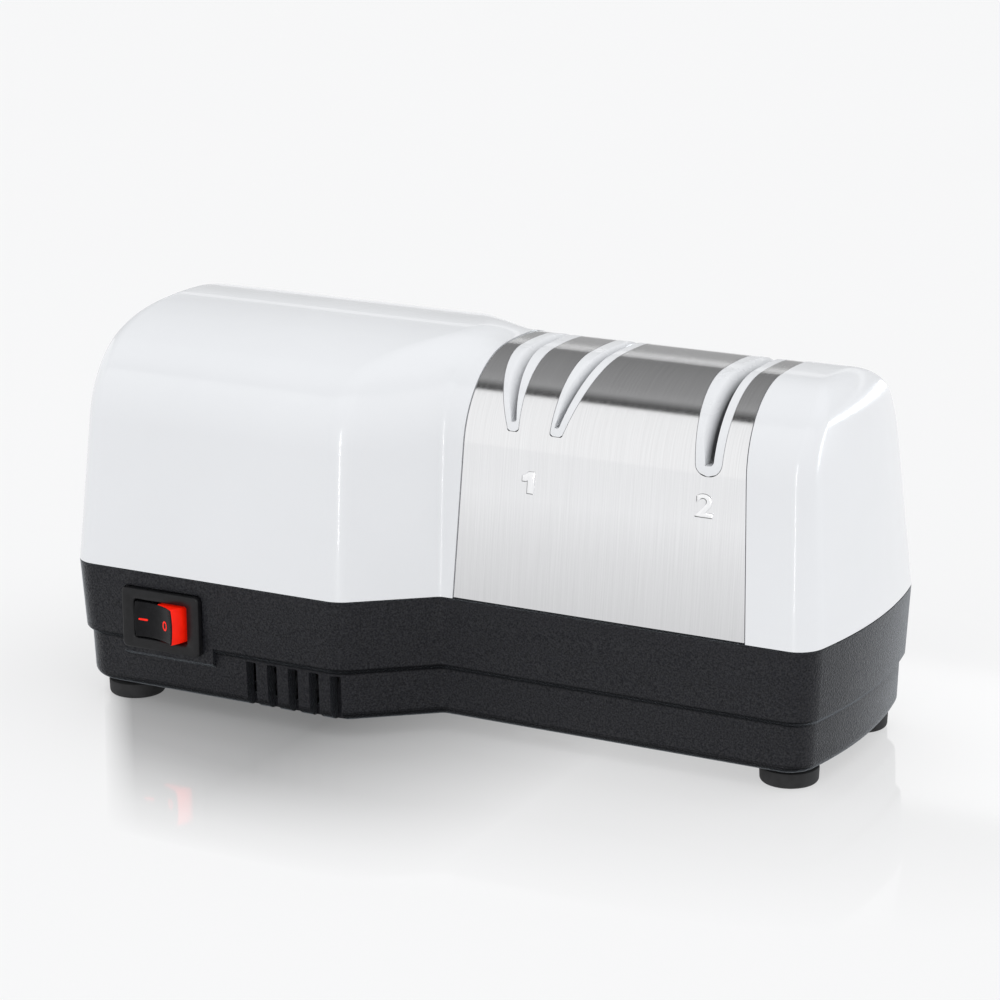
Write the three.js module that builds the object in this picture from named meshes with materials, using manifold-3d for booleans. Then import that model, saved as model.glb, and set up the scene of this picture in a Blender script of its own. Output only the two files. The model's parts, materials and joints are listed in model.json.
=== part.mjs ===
// Electric knife sharpener with two grinding slots and one finishing slot.
// Units are millimetres. X runs from the motor end to the finishing end, the user stands at -Y, Z is up.
import * as THREE from 'three';
import Module from 'manifold-3d';
import { mergeVertices } from 'three/addons/utils/BufferGeometryUtils.js';

const wasm = await Module();
wasm.setup();

const radians = THREE.MathUtils.degToRad;

// Clearances and overruns that every piece shares
const seatGap = 0.3;
const cutOverrun = 3;
const mergeDistance = 0.0001;

// Plan outline of the body, at the joint between the white and the black half
const halfLength = 100;
const motorHalfDepth = 49;
const narrowHalfDepth = 33;
const endBow = 3.96;
const motorCornerRadius = 6.4;
const narrowCornerRadius = 5.7;
const shoulderStart = -19.35;
const shoulderEnd = 0.25;
const shoulderOuterRadius = 7.9;
const shoulderInnerRadius = 3;

// How far the shoulder moves towards the motor end when the outline is drawn in, as a share of the inset
const shoulderTurn = Math.atan2(motorHalfDepth - narrowHalfDepth, shoulderEnd - shoulderStart);
const shoulderShiftShare = Math.tan(shoulderTurn / 2);

// Heights of the two halves
const jointHeight = 35.5;
const motorCrest = 95.4;
const narrowCrest = 93.6;
const baseBottom = 4.2;

// Upper housing: how each side leans in, rounds over and crowns, in degrees and millimetres
const motorSide = { draft: 6.7, edgeRadius: 21.9, topSlope: 20.7 };
const narrowSide = { draft: 7.2, edgeRadius: 23.3, topSlope: 3.2 };
const motorEnd = { draft: 3.5, edgeRadius: 5.5, topSlope: 0.8 };
const narrowEnd = { draft: 5.1, edgeRadius: 8.9, topSlope: 1.2 };
const motorEndReach = 12.3;
const narrowEndReach = 17.6;
const shoulderTopStart = -6.5;
const shoulderTopEnd = 4.9;
const shoulderLeanShare = 0.34;
const housingWall = 2.8;
const housingLevelShares = [0, 0.36, 0.6, 0.7, 0.78, 0.845, 0.9, 0.94, 0.968, 0.987, 0.997, 0.9999];
const cavityLevelShares = [0, 0.6, 0.78, 0.88, 0.945, 0.985, 0.9999];

// Base housing
const baseWall = 3.4;
const floorThickness = 2.6;
const upperBandDraftInset = 0.9;
const stepInset = 1.15;
const stepBottom = 16.4;
const stepHeight = 2;
const stepTop = stepBottom + stepHeight;
const lowerBandDraftInset = 0.3;
const bottomFillet = 3.2;
const filletShares = [0, 0.4, 0.75, 1];
const lipHeight = 2;
const lipDepth = 5;
const lipThickness = 1.5;

// Air slots in the lower band
const ventCount = 5;
const ventWidth = 2.8;
const ventPitch = 5.95;
const ventBendInset = 11.25;
const ventMiddle = shoulderStart - shoulderOuterRadius * shoulderShiftShare - ventBendInset;
const ventTop = stepBottom - seatGap;

// Rocker switch
const switchEndInset = 30.5;
const switchJointDrop = 11.85;
const switchMiddle = -halfLength + switchEndInset;
const switchHeight = jointHeight - switchJointDrop;
const bezelLength = 22.4;
const bezelHeight = 15.4;
const bezelProud = 1.8;
const bezelCornerRadius = 1.1;
const bezelChamfer = 0.5;
const switchPocketLength = 15.9;
const switchPocketHeight = 9.8;
const switchPocketDepth = 9;
const switchBodyLength = 18.6;
const switchBodyHeight = 13.4;
const switchBodyDepth = 13;
const terminalLength = 3;
const terminalWidth = 4.8;
const terminalThickness = 0.8;
const terminalSpacing = 7.4;
const switchSeatInset = 0.9;
const padOverhang = 1;
const padTail = 2.7;
const padBottomMargin = 1.8;
const padTopMargin = 6;
const rockerThrowAngle = 24;
const rockerHalfLength = 6.55;
const rockerPivotDepth = 4;
const rockerRootDepth = 5;
const rockerFlankLength = 7.3;
const rockerFlankDepth = 2.2;
const rockerSideGap = 0.35;
const rockerFaceProud = 0.2;
const rockerDishShares = [0.25, 0.5, 0.75];
const rockerPinRadius = 1;
const rockerPinReach = 0.5;

// Cord gland at the back of the motor end
const glandEndInset = 38;
const glandJointDrop = 11.5;
const glandMiddle = -halfLength + glandEndInset;
const glandHeight = jointHeight - glandJointDrop;
const glandFlangeRadius = 8;
const glandFlangeThickness = 1.6;
const glandBodyRadius = 5.6;
const glandBodyLength = 9;
const glandBoreRadius = 3.8;
const glandRimRadius = 5;

// Feet
const footRadius = 7.1;
const footEdge = 0.7;
const footStemRadius = 2.2;
const footHeadRadius = 3.1;
const footHeadHeight = 1.6;
const footMotorEndInset = 15.3;
const footMotorSideInset = 10.4;
const footNarrowEndInset = 13;
const footNarrowSideInset = 11.6;
const footMotor = [-halfLength + footMotorEndInset, motorHalfDepth - footMotorSideInset];
const footNarrow = [halfLength - footNarrowEndInset, narrowHalfDepth - footNarrowSideInset];
const footPlaces = {
  foot_motor_front: [footMotor[0], -footMotor[1]],
  foot_motor_back: footMotor,
  foot_narrow_front: [footNarrow[0], -footNarrow[1]],
  foot_narrow_back: footNarrow,
};

// Housing screws and their pillars
const pillarRadius = 4;
const basePillarRadius = 5;
const screwShankRadius = 1.5;
const screwHeadRadius = 3.3;
const screwHeadHeight = 2.2;
const screwSinkDepth = 4.4;
const screwLength = 42;
const screwCrownShare = 0.8;
const driveReachShare = 0.7;
const driveSlotWidth = 1;
const driveSlotDepth = 1.1;
const upperPillarHeight = 24.5;
const upperPillarTop = jointHeight + upperPillarHeight;
const pillarWebThickness = 2.2;
const screwMotorEndInset = 48;
const screwNarrowPlaceShare = 0.61;
const screwSideInset = 11;
const screwMotor = [-halfLength + screwMotorEndInset, motorHalfDepth - screwSideInset];
const screwNarrow = [halfLength * screwNarrowPlaceShare, narrowHalfDepth - screwSideInset];
const screwPlaces = {
  housing_screw_motor_front: [screwMotor[0], -screwMotor[1]],
  housing_screw_motor_back: screwMotor,
  housing_screw_narrow_front: [screwNarrow[0], -screwNarrow[1]],
  housing_screw_narrow_back: screwNarrow,
};

// Middles of the two stages along the body
const diskMiddleShare = 0.2255;
const endPostShare = 0.43;
const finishMiddleShare = 0.682;
const diskMiddle = halfLength * diskMiddleShare;
const diskSideInset = 7.6;
const diskRadius = narrowHalfDepth - diskSideInset;
const endPostMiddle = halfLength * endPostShare;
const finishMiddle = halfLength * finishMiddleShare;

// Steel cover plate
const plateThickness = 0.8;
const plateSink = 0.2;
const plateShoulderInset = 3.5;
const plateStageReach = 11.8;
const plateLeftSlant = 0.99;
const plateRightSlant = 3.65;
const plateLeftBottom = shoulderEnd + plateShoulderInset;
const plateLeftTop = plateLeftBottom + plateLeftSlant;
const plateRightBottom = finishMiddle + plateStageReach;
const plateRightTop = plateRightBottom - plateRightSlant;
const archArcSteps = 9;
const archCrownSteps = 3;

// Slots in the cover plate. Each is given by its edges at its own foot, from the middle of its stage, and
// its foot lies a drop below the crest. The blade gap starts a rise above that foot.
const guideDepth = 12;
const slotCeiling = narrowCrest + 2 * cutOverrun;
const slotForms = {
  slot_1_left_guide: {
    middle: diskMiddle, crestDrop: 16.3, left: -6.9, right: -4.05, leftLeanShare: -0.4545,
    rightLeanShare: -0.075, footRadius: 0.8, gapRise: 2.1, gap: -5.15, gapLeanShare: -0.235, gapWidth: 1.3,
    lead: 2.6,
  },
  slot_1_right_guide: {
    middle: diskMiddle, crestDrop: 16.3, left: 4.05, right: 7.35, leftLeanShare: 0.015,
    rightLeanShare: 0.32, footRadius: 0.8, gapRise: 1.9, gap: 6.35, gapLeanShare: 0.265, gapWidth: 1.3,
    lead: 2.4,
  },
  slot_2_guide: {
    middle: finishMiddle, crestDrop: 20.7, left: -3.15, right: 3.3, leftLeanShare: -0.15,
    rightLeanShare: 0, footRadius: 3.2, gapRise: 2.4, gap: 1.1, gapLeanShare: 0, gapWidth: 2.2,
    lead: 2.8,
  },
};
const slots = Object.fromEntries(Object.entries(slotForms).map(([name, form]) => {
  const foot = narrowCrest - form.crestDrop;
  return [name, {
    ...form,
    foot,
    footLeft: form.middle + form.left,
    footRight: form.middle + form.right,
    gapFoot: foot + form.gapRise,
    gapRight: form.middle + form.gap,
  }];
}));
const fullestFootShare = 0.46;
const leadDepth = 3.4;
const leadRise = 9;

// Drive line. Its shaft lies as high as both the dome over the motor and the guides over the disks allow.
const floorTop = baseBottom + floorThickness;
const shaftHeightShare = 0.5316;
const diskGuideGap = 1.5;
const shaftUnderDome = floorTop + (motorCrest - floorTop) * shaftHeightShare;
const shaftUnderGuides = narrowCrest - guideDepth - diskGuideGap - diskRadius;
const shaftHeight = Math.min(shaftUnderDome, shaftUnderGuides);
const shaftRadius = 3;
const shaftChamfer = 0.5;

// Motor, with the core's heights as shares of the shaft's height over the floor
const shaftRoom = shaftHeight - floorTop;
const stackEndInset = 30;
const stackStart = -halfLength + stackEndInset;
const stackLength = 24;
const coreSideInset = 20;
const coreHalfWidth = motorHalfDepth - coreSideInset;
const coreBottomShare = 0.678;
const windowBottomShare = 0.466;
const windowTopShare = 0.307;
const rotorShare = 0.2542;
const coreTopShare = 0.3814;
const coreBottom = shaftHeight - shaftRoom * coreBottomShare;
const windowBottom = shaftHeight - shaftRoom * windowBottomShare;
const windowTop = shaftHeight - shaftRoom * windowTopShare;
const rotorRadius = shaftRoom * rotorShare;
const coreTop = shaftHeight + shaftRoom * coreTopShare;
const airGap = 0.4;
const windowSideInset = 11;
const windowHalfWidth = coreHalfWidth - windowSideInset;
const coreCornerRadius = 4;
const rotorRingThickness = 2.5;
const rotorRingShare = 0.625;
const rotorRingInner = rotorRadius * rotorRingShare;
const bobbinEndInset = 3;
const bobbinHalfLength = windowHalfWidth - bobbinEndInset;
const bobbinFlange = 1.6;
const bobbinWall = 1.2;
const bobbinFlangeReach = windowTop - windowBottom - bobbinWall - 2 * seatGap;
const coilShare = 0.88;
const coilReach = bobbinFlangeReach * coilShare;
const coilCornerRadius = 3;
const bracketThickness = 2.5;
const bracketHeight = 15;
const bracketStandOff = 8;
const bracketLegWidth = 6;
const bushRadius = 5;
const bushLength = 6;
const cradlePostSize = 7;
const cradleInset = 4.5;
const cradleSideInset = 3.5;
const cradleSpread = coreHalfWidth - cradleSideInset;

// Cooling fan
const fanEndInset = 10;
const fanStart = -halfLength + fanEndInset;
const fanRadius = 21.5;
const fanHubRadius = 6;
const fanDiscThickness = 1.4;
const fanDepth = 7;
const fanBladeCount = 9;
const fanBladeThickness = 1.3;
const fanBladeInner = 8.5;
const fanBladeAngle = 28;
const bladeSteps = 3;

// Stage 1: two sprung abrasive cones between the two grinding slots
const diskFaceOffset = 4.25;
const diskConeRise = 2.2;
const diskRimThickness = 2;
const diskConeInner = 8;
const diskHubRadius = 6.5;
const diskHubEnd = 10.5;
const diskBackOffset = 4.2;
const diskSpringPocket = 6;
const diskSpringPocketRadius = 5.5;
const diskPinRadius = 1;
const diskPinHalfLength = 6.2;
const diskPinSlotDepth = 1.6;
const springMeanRadius = 4.35;
const springWireRadius = 0.4;
const springTurns = 5;
const springStepsPerTurn = 8;
const springWireSides = 5;
const endPostThickness = 4;
const endPostTopRadius = 8.5;
const endPostSideInset = 20;
const endPostHalfWidth = narrowHalfDepth - endPostSideInset;
const shaftEndReach = 1.5;
const shaftStart = fanStart - shaftEndReach;
const shaftEnd = endPostMiddle + bushLength / 2 + shaftEndReach;
const postFootThickness = 2.6;
const postFootLength = 15;

// Stage 2: a pair of small cones under the finishing slot
const finishAxleDrop = 25.6;
const finishAxleHeight = narrowCrest - finishAxleDrop;
const finishAxleRadius = 2;
const finishWheelRadius = 11;
const finishVeeRadius = 6.6;
const finishVeeDepth = 2.05;
const finishWheelThickness = 4.9;
const finishWheelGap = 0.15;
const bracketInnerGap = 0.5;
const uprightThickness = 2.5;
const uprightHalfWidth = 8;
const uprightTopRadius = 5;
const bracketFootSideInset = 21;
const bracketFootHalfWidth = narrowHalfDepth - bracketFootSideInset;

// Swarf cover and magnet under stage 1
const coverStageInset = 1.55;
const coverMiddle = diskMiddle - coverStageInset;
const coverHalfLength = 12;
const coverHalfDepth = 15;
const coverCornerRadius = 3;
const coverThickness = 1.5;
const coverPlugHeight = 3.2;
const coverLedge = 2;
const coverFingerHalfWidth = 5;
const coverFingerDepth = 1;
const coverFingerReach = 3;
const magnetHalfLength = 8;
const magnetHalfDepth = 4.5;
const magnetThickness = 2.4;
const magnetChamfer = 0.4;

// Facet counts
const endSteps = 5;
const cornerSteps = 6;
const sideSteps = 2;
const bendSteps = 4;
const roundSteps = 4;
const fineSides = 32;
const plainSides = 20;
const smallSides = 12;

// Materials, by finish
function finish(color, roughness, metalness) {
  return new THREE.MeshStandardMaterial({ color, roughness, metalness });
}
const glossWhite = finish(0xe8eaee, 0.18, 0);
const guideWhite = finish(0xe2e5e9, 0.4, 0);
const grainedBlack = finish(0x26272b, 0.6, 0);
const switchBlack = finish(0x1b1c1e, 0.4, 0);
const brushedSteel = finish(0xc4c6c8, 0.32, 1);
const rubberBlack = finish(0x2b2b2d, 0.85, 0);
const glandBlack = finish(0x1e1e20, 0.6, 0);
const zincScrew = finish(0xb9bcc0, 0.35, 1);
const laminatedIron = finish(0x6d7074, 0.5, 1);
const bobbinWhite = finish(0xe6e2d4, 0.5, 0);
const copperWire = finish(0xb4602a, 0.35, 1);
const zincedSteel = finish(0xa9adb2, 0.4, 1);
const sinteredBronze = finish(0x9a7440, 0.5, 1);
const groundSteel = finish(0xc9ccd0, 0.2, 1);
const castAluminium = finish(0xa5a8ac, 0.45, 1);
const fanGrey = finish(0x3a3d42, 0.55, 0);
const abrasiveGrey = finish(0x8c8f93, 0.7, 0.6);
const springSteel = finish(0x8e9196, 0.3, 1);
const frameGrey = finish(0x55595e, 0.55, 0);
const magnetGrey = finish(0x4a4c50, 0.5, 0.7);

// A closed geometry as a solid: shared corners merged, empty facets dropped and the faces turned outward
function solidOf(geometry) {
  const bare = geometry.clone();
  bare.deleteAttribute('normal');
  bare.deleteAttribute('uv');
  const merged = mergeVertices(bare, mergeDistance);
  const corners = merged.attributes.position.array;
  const facets = [];
  const index = merged.index.array;
  let volume = 0;
  const [a, b, c] = [new THREE.Vector3(), new THREE.Vector3(), new THREE.Vector3()];
  for (let i = 0; i < index.length; i += 3) {
    const [p, q, r] = [index[i], index[i + 1], index[i + 2]];
    if (p !== q && q !== r && r !== p) {
      facets.push([p, q, r]);
      a.fromArray(corners, p * 3);
      b.fromArray(corners, q * 3);
      c.fromArray(corners, r * 3);
      volume += a.dot(b.clone().cross(c));
    }
  }
  const outward = volume > 0 ? facets : facets.map(([p, q, r]) => [p, r, q]);
  return new wasm.Manifold(new wasm.Mesh({
    numProp: 3,
    vertProperties: new Float32Array(corners),
    triVerts: new Uint32Array(outward.flat()),
  }));
}

function geometryOf(solid) {
  const mesh = solid.getMesh();
  const geometry = new THREE.BufferGeometry();
  geometry.setAttribute('position', new THREE.BufferAttribute(new Float32Array(mesh.vertProperties), 3));
  geometry.setIndex(new THREE.BufferAttribute(new Uint32Array(mesh.triVerts), 1));
  geometry.computeVertexNormals();
  return geometry;
}

const sharpener = new THREE.Group();

function addPiece(name, solid, material) {
  const mesh = new THREE.Mesh(geometryOf(solid), material);
  mesh.name = name;
  sharpener.add(mesh);
  return mesh;
}

const union = (solids) => solids.reduce((whole, next) => whole.add(next));
const cut = (solid, cutters) => cutters.reduce((rest, cutter) => rest.subtract(cutter), solid);

// Flat outlines: a list of [across, up] points
const shapeOf = (points) => new THREE.Shape(points.map(([u, v]) => new THREE.Vector2(u, v)));

function roundedBox(left, right, bottom, top, radius, steps = roundSteps) {
  const centres = [[right - radius, bottom + radius], [right - radius, top - radius],
    [left + radius, top - radius], [left + radius, bottom + radius]];
  return centres.flatMap(([u, v], corner) => Array.from({ length: steps + 1 }, (_, i) => {
    const angle = (corner - 1 + i / steps) * Math.PI / 2;
    return [u + radius * Math.cos(angle), v + radius * Math.sin(angle)];
  }));
}

const circle = (u, v, radius, sides) => Array.from({ length: sides }, (_, i) => [
  u + radius * Math.cos(2 * Math.PI * i / sides),
  v + radius * Math.sin(2 * Math.PI * i / sides),
]);

// Extrusions of a flat outline: (y, z) along X, (x, z) along Y and (x, y) along Z
function extrude(points, from, to, across, up, along) {
  const geometry = new THREE.ExtrudeGeometry(shapeOf(points), { depth: to - from, bevelEnabled: false });
  geometry.translate(0, 0, from);
  geometry.applyMatrix4(new THREE.Matrix4().makeBasis(across, up, along));
  return solidOf(geometry);
}
const axisX = new THREE.Vector3(1, 0, 0);
const axisY = new THREE.Vector3(0, 1, 0);
const axisZ = new THREE.Vector3(0, 0, 1);
const alongX = (points, from, to) => extrude(points, from, to, axisY, axisZ, axisX);
const alongY = (points, from, to) => extrude(points, from, to, axisX, axisZ, axisY);
const alongZ = (points, from, to) => extrude(points, from, to, axisX, axisY, axisZ);

// Turned solids: the profile is a list of [along, radius] points that starts and ends on the axis or closes
function turned(profile, sides, turn, place) {
  const geometry = new THREE.LatheGeometry(profile.map(([along, r]) => new THREE.Vector2(r, along)), sides);
  turn(geometry);
  geometry.translate(...place);
  return solidOf(geometry);
}
const turnedX = (profile, sides, place) => turned(profile, sides, (g) => g.rotateZ(-Math.PI / 2), place);
const turnedY = (profile, sides, place) => turned(profile, sides, () => {}, place);
const turnedZ = (profile, sides, place) => turned(profile, sides, (g) => g.rotateX(Math.PI / 2), place);
const rod = (from, to, radius) => [[from, 0], [from, radius], [to, radius], [to, 0]];
const sleeve = (from, to, bore, radius) => [
  [from, bore], [from, radius], [to, radius], [to, bore], [from, bore],
];
const chamferedRod = (from, to, radius, chamfer) => [[from, 0], [from, radius - chamfer],
  [from + chamfer, radius], [to - chamfer, radius], [to, radius - chamfer], [to, 0]];

// How far a wall has moved in at a height: a drafted wall, an arc, then a crown that ends level
function crownOf({ draft, edgeRadius, topSlope }, toSpine, crest) {
  const lean = Math.tan(radians(draft));
  const pitch = Math.tan(radians(topSlope));
  const draftSin = Math.sin(radians(draft));
  const draftCos = Math.cos(radians(draft));
  const slopeSin = Math.sin(radians(topSlope));
  const slopeCos = Math.cos(radians(topSlope));
  const arcSpan = toSpine + jointHeight * lean - edgeRadius * draftCos + edgeRadius * slopeSin;
  const arcRise = edgeRadius * (slopeCos - draftSin);
  const arcStart = (crest - arcRise - pitch * arcSpan / 2) / (1 - pitch * lean / 2);
  const centreInset = (arcStart - jointHeight) * lean + edgeRadius * draftCos;
  const centreHeight = arcStart - edgeRadius * draftSin;
  const crownInset = centreInset - edgeRadius * slopeSin;
  const crownHeight = centreHeight + edgeRadius * slopeCos;
  const insetAt = (height) => {
    if (height < arcStart) {
      return (height - jointHeight) * lean;
    }
    if (height < crownHeight) {
      return centreInset - Math.sqrt(edgeRadius ** 2 - (height - centreHeight) ** 2);
    }
    return toSpine - Math.sqrt(Math.max(2 * (crest - height) * (toSpine - crownInset) / pitch, 0));
  };
  return { lean, pitch, arcStart, centreInset, centreHeight, crownInset, crownHeight, insetAt, toSpine };
}

const smoothStep = (share) => THREE.MathUtils.smoothstep(share, 0, 1);

function bezier(points, steps) {
  const [a, b, c, d] = points.map(([x, y]) => new THREE.Vector2(x, y));
  return new THREE.CubicBezierCurve(a, b, c, d).getPoints(steps).map(({ x, y }) => [x, y]);
}
const quarterHandleShare = 0.5523;
const bendHandleShare = 0.42;

// One bowed end with its corner, from the middle of the end to the start of the side
function endCurve(tip, side, halfDepth, radius, bow) {
  const straight = halfDepth - radius;
  const edge = Array.from({ length: endSteps + 1 }, (_, i) => {
    const y = straight * i / endSteps;
    return [tip + side * bow * (y / halfDepth) ** 2, -y];
  });
  const start = edge.at(-1);
  const heading = new THREE.Vector2(side * 2 * bow * straight / halfDepth ** 2, -1).normalize();
  const reach = radius + bow * (1 - (straight / halfDepth) ** 2) / 2;
  const corner = [start[0] + side * reach, -halfDepth];
  const handle = quarterHandleShare * radius;
  const bend = bezier([start, [start[0] + heading.x * handle, start[1] + heading.y * handle],
    [corner[0] - side * handle, corner[1]], corner], cornerSteps);
  return [...edge.slice(0, -1), ...bend];
}

const divide = (from, to, steps) => Array.from({ length: steps + 1 }, (_, i) => [
  from[0] + (to[0] - from[0]) * i / steps,
  from[1] + (to[1] - from[1]) * i / steps,
]);

// Front half of the plan outline, from the middle of the motor end to the middle of the narrow end.
// Each side has its own inset, and the shoulder between the two depths has its own place.
function frontOutline({ left, motor, narrow, right, start, end, open = 0 }) {
  const motorDepth = motorHalfDepth - motor;
  const narrowDepth = narrowHalfDepth - narrow;
  const motorScale = motorDepth / motorHalfDepth;
  const narrowScale = narrowDepth / narrowHalfDepth;
  const leftEnd = endCurve(-halfLength + left, 1, motorDepth, motorCornerRadius * motorScale,
    endBow * motorScale);
  const rightEnd = endCurve(halfLength - right, -1, narrowDepth, narrowCornerRadius * narrowScale,
    endBow * narrowScale).reverse();
  const slant = new THREE.Vector2(end - start, motorDepth - narrowDepth);
  const turn = Math.abs(Math.atan2(slant.y, slant.x));
  const span = slant.length();
  const heading = slant.clone().normalize();
  const outer = Math.min(shoulderOuterRadius * (1 + open) * Math.tan(turn / 2), span * bendHandleShare);
  const inner = Math.min(shoulderInnerRadius * (1 + 2 * open) * Math.tan(turn / 2), span * bendHandleShare);
  const along = (x, y, step) => [x + heading.x * step, y + heading.y * step];
  const outerBend = bezier([[start - outer, -motorDepth], [start - outer * bendHandleShare, -motorDepth],
    along(start, -motorDepth, outer * bendHandleShare), along(start, -motorDepth, outer)], bendSteps);
  const innerBend = bezier([along(end, -narrowDepth, -inner),
    along(end, -narrowDepth, -inner * bendHandleShare),
    [end + inner * bendHandleShare, -narrowDepth], [end + inner, -narrowDepth]], bendSteps);
  return {
    points: [
      ...leftEnd.slice(0, -1),
      ...divide(leftEnd.at(-1), outerBend[0], sideSteps).slice(0, -1),
      ...outerBend,
      ...innerBend.slice(0, -1),
      ...divide(innerBend.at(-1), rightEnd[0], sideSteps).slice(0, -1),
      ...rightEnd,
    ],
    shoulderFrom: outerBend[0][0],
    shoulderTo: innerBend.at(-1)[0],
  };
}

// A closed solid through outlines stacked from the bottom up. A row is the front half of a level outline,
// as [x, y, z] points, and the back half is its mirror image.
function stacked(rows) {
  const half = rows[0].length - 1;
  const count = 2 * half;
  const loops = rows.map((row) => [...row, ...row.slice(1, -1).reverse().map(([x, y, z]) => [x, -y, z])]);
  const index = [];
  const at = (row, column) => row * count + column % count;
  for (let row = 0; row < rows.length - 1; row += 1) {
    for (let column = 0; column < count; column += 1) {
      index.push(at(row, column), at(row, column + 1), at(row + 1, column + 1));
      index.push(at(row, column), at(row + 1, column + 1), at(row + 1, column));
    }
  }
  const top = rows.length - 1;
  for (let column = 0; column < half; column += 1) {
    const [a, b, c, d] = [column, column + 1, count - column - 1, count - column];
    index.push(at(top, a), at(top, b), at(top, c), at(top, a), at(top, c), at(top, d));
    index.push(at(0, a), at(0, c), at(0, b), at(0, a), at(0, d), at(0, c));
  }
  const geometry = new THREE.BufferGeometry();
  geometry.setAttribute('position', new THREE.Float32BufferAttribute(loops.flat(2), 3));
  geometry.setIndex(index);
  return solidOf(geometry);
}

// The domed form of the upper housing, drawn in by a wall for its inside
function domed(wall, levelShares, foot) {
  const inner = (side) => ({ ...side, edgeRadius: side.edgeRadius - wall });
  const motor = crownOf(inner(motorSide), motorHalfDepth - wall, motorCrest - wall);
  const narrow = crownOf(inner(narrowSide), narrowHalfDepth - wall, narrowCrest - wall);
  const left = crownOf(inner(motorEnd), motorEndReach, motorCrest - wall);
  const right = crownOf(inner(narrowEnd), narrowEndReach, narrowCrest - wall);
  const rows = levelShares.map((share) => {
    const motorLevel = jointHeight + (motorCrest - wall - jointHeight) * share;
    const narrowLevel = jointHeight + (narrowCrest - wall - jointHeight) * share;
    const motorInset = motor.insetAt(motorLevel);
    const narrowInset = narrow.insetAt(narrowLevel);
    const open = motorInset / motor.toSpine;
    const ease = smoothStep(open);
    const lean = shoulderLeanShare * (1 - ease);
    const shift = wall * shoulderShiftShare;
    const outline = frontOutline({
      left: wall + left.insetAt(motorLevel),
      motor: wall + motorInset,
      narrow: wall + narrowInset,
      right: wall + right.insetAt(narrowLevel),
      start: shoulderStart - shift - lean * motorInset + (shoulderTopStart - shoulderStart) * ease,
      end: shoulderEnd - shift - lean * narrowInset + (shoulderTopEnd - shoulderEnd) * ease,
      open,
    });
    return outline.points.map(([x, y]) => {
      const blend = smoothStep((x - outline.shoulderFrom) / (outline.shoulderTo - outline.shoulderFrom));
      return [x, y, motorLevel + (narrowLevel - motorLevel) * blend];
    });
  });
  const footRow = rows[0].map(([x, y]) => [x, y, foot]);
  return stacked(foot < jointHeight ? [footRow, ...rows] : rows);
}

// A level outline drawn in by one inset all round, at a height
function bandRow(height, inset) {
  const shift = inset * shoulderShiftShare;
  const { points } = frontOutline({
    left: inset, motor: inset, narrow: inset, right: inset,
    start: shoulderStart - shift, end: shoulderEnd - shift,
  });
  return points.map(([x, y]) => [x, y, height]);
}

// Arch of the narrow section, drawn in square to its surface, from a foot height up and down again
const narrowCrown = crownOf(narrowSide, narrowHalfDepth, narrowCrest);
function archPoints(offset, foot) {
  const { arcStart, centreInset, centreHeight, crownInset, crownHeight, toSpine } = narrowCrown;
  const draft = Math.atan(narrowCrown.lean);
  const slope = Math.atan(narrowCrown.pitch);
  const radius = narrowSide.edgeRadius - offset;
  const onWall = foot < arcStart - seatGap;
  const firstAngle = onWall ? draft : Math.asin((foot - centreHeight) / radius);
  const front = onWall ? [[(foot - jointHeight) * narrowCrown.lean + offset / Math.cos(draft), foot]] : [];
  for (let i = 0; i <= archArcSteps; i += 1) {
    const angle = firstAngle + (Math.PI / 2 - slope - firstAngle) * i / archArcSteps;
    front.push([centreInset - radius * Math.cos(angle), centreHeight + radius * Math.sin(angle)]);
  }
  for (let i = 1; i <= archCrownSteps; i += 1) {
    const share = i / archCrownSteps;
    const inset = crownInset + (toSpine - crownInset) * share;
    const climb = narrowCrown.pitch * (toSpine - crownInset) * (share - share ** 2 / 2);
    const lie = slope * (1 - share);
    front.push([inset + offset * Math.sin(lie), crownHeight + climb - offset * Math.cos(lie)]);
  }
  const points = front.map(([inset, height]) => [inset - toSpine, height]);
  const back = points.slice(0, -1).reverse().map(([y, z]) => [-y, z]);
  return [...points, ...back];
}

const archBand = (outer, inner, foot, from, to) => alongX(
  [...archPoints(outer, foot), ...archPoints(inner, foot).reverse()], from, to,
);

// A closed solid through sections that each hold the same number of points, with flat ends
function swept(sections) {
  const count = sections[0].length;
  const index = [];
  for (let row = 0; row < sections.length - 1; row += 1) {
    for (let i = 0; i < count; i += 1) {
      const [a, b] = [row * count + i, row * count + (i + 1) % count];
      index.push(a, b, b + count, a, b + count, a + count);
    }
  }
  const last = (sections.length - 1) * count;
  for (let i = 1; i < count - 1; i += 1) {
    index.push(0, i + 1, i, last, last + i, last + i + 1);
  }
  const geometry = new THREE.BufferGeometry();
  geometry.setAttribute('position', new THREE.Float32BufferAttribute(sections.flat(2), 3));
  geometry.setIndex(index);
  return solidOf(geometry);
}

const box = (x0, x1, y0, y1, z0, z1) => alongZ([[x0, y0], [x1, y0], [x1, y1], [x0, y1]], z0, z1);

// Heights and insets that several pieces share
const housingFoot = jointHeight + seatGap / 2;
const baseTop = jointHeight - seatGap / 2;
const stepOuterInset = upperBandDraftInset + stepInset;
const lowerBandInset = stepOuterInset + lowerBandDraftInset;
const upperBandInset = (height) => upperBandDraftInset * (jointHeight - height) / (jointHeight - stepTop);
const plateFoot = housingFoot + seatGap;
const recessDepth = plateSink + plateThickness + seatGap;
const pillarSplitGap = seatGap;
const motorCrown = crownOf(motorSide, motorHalfDepth, motorCrest);

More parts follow.
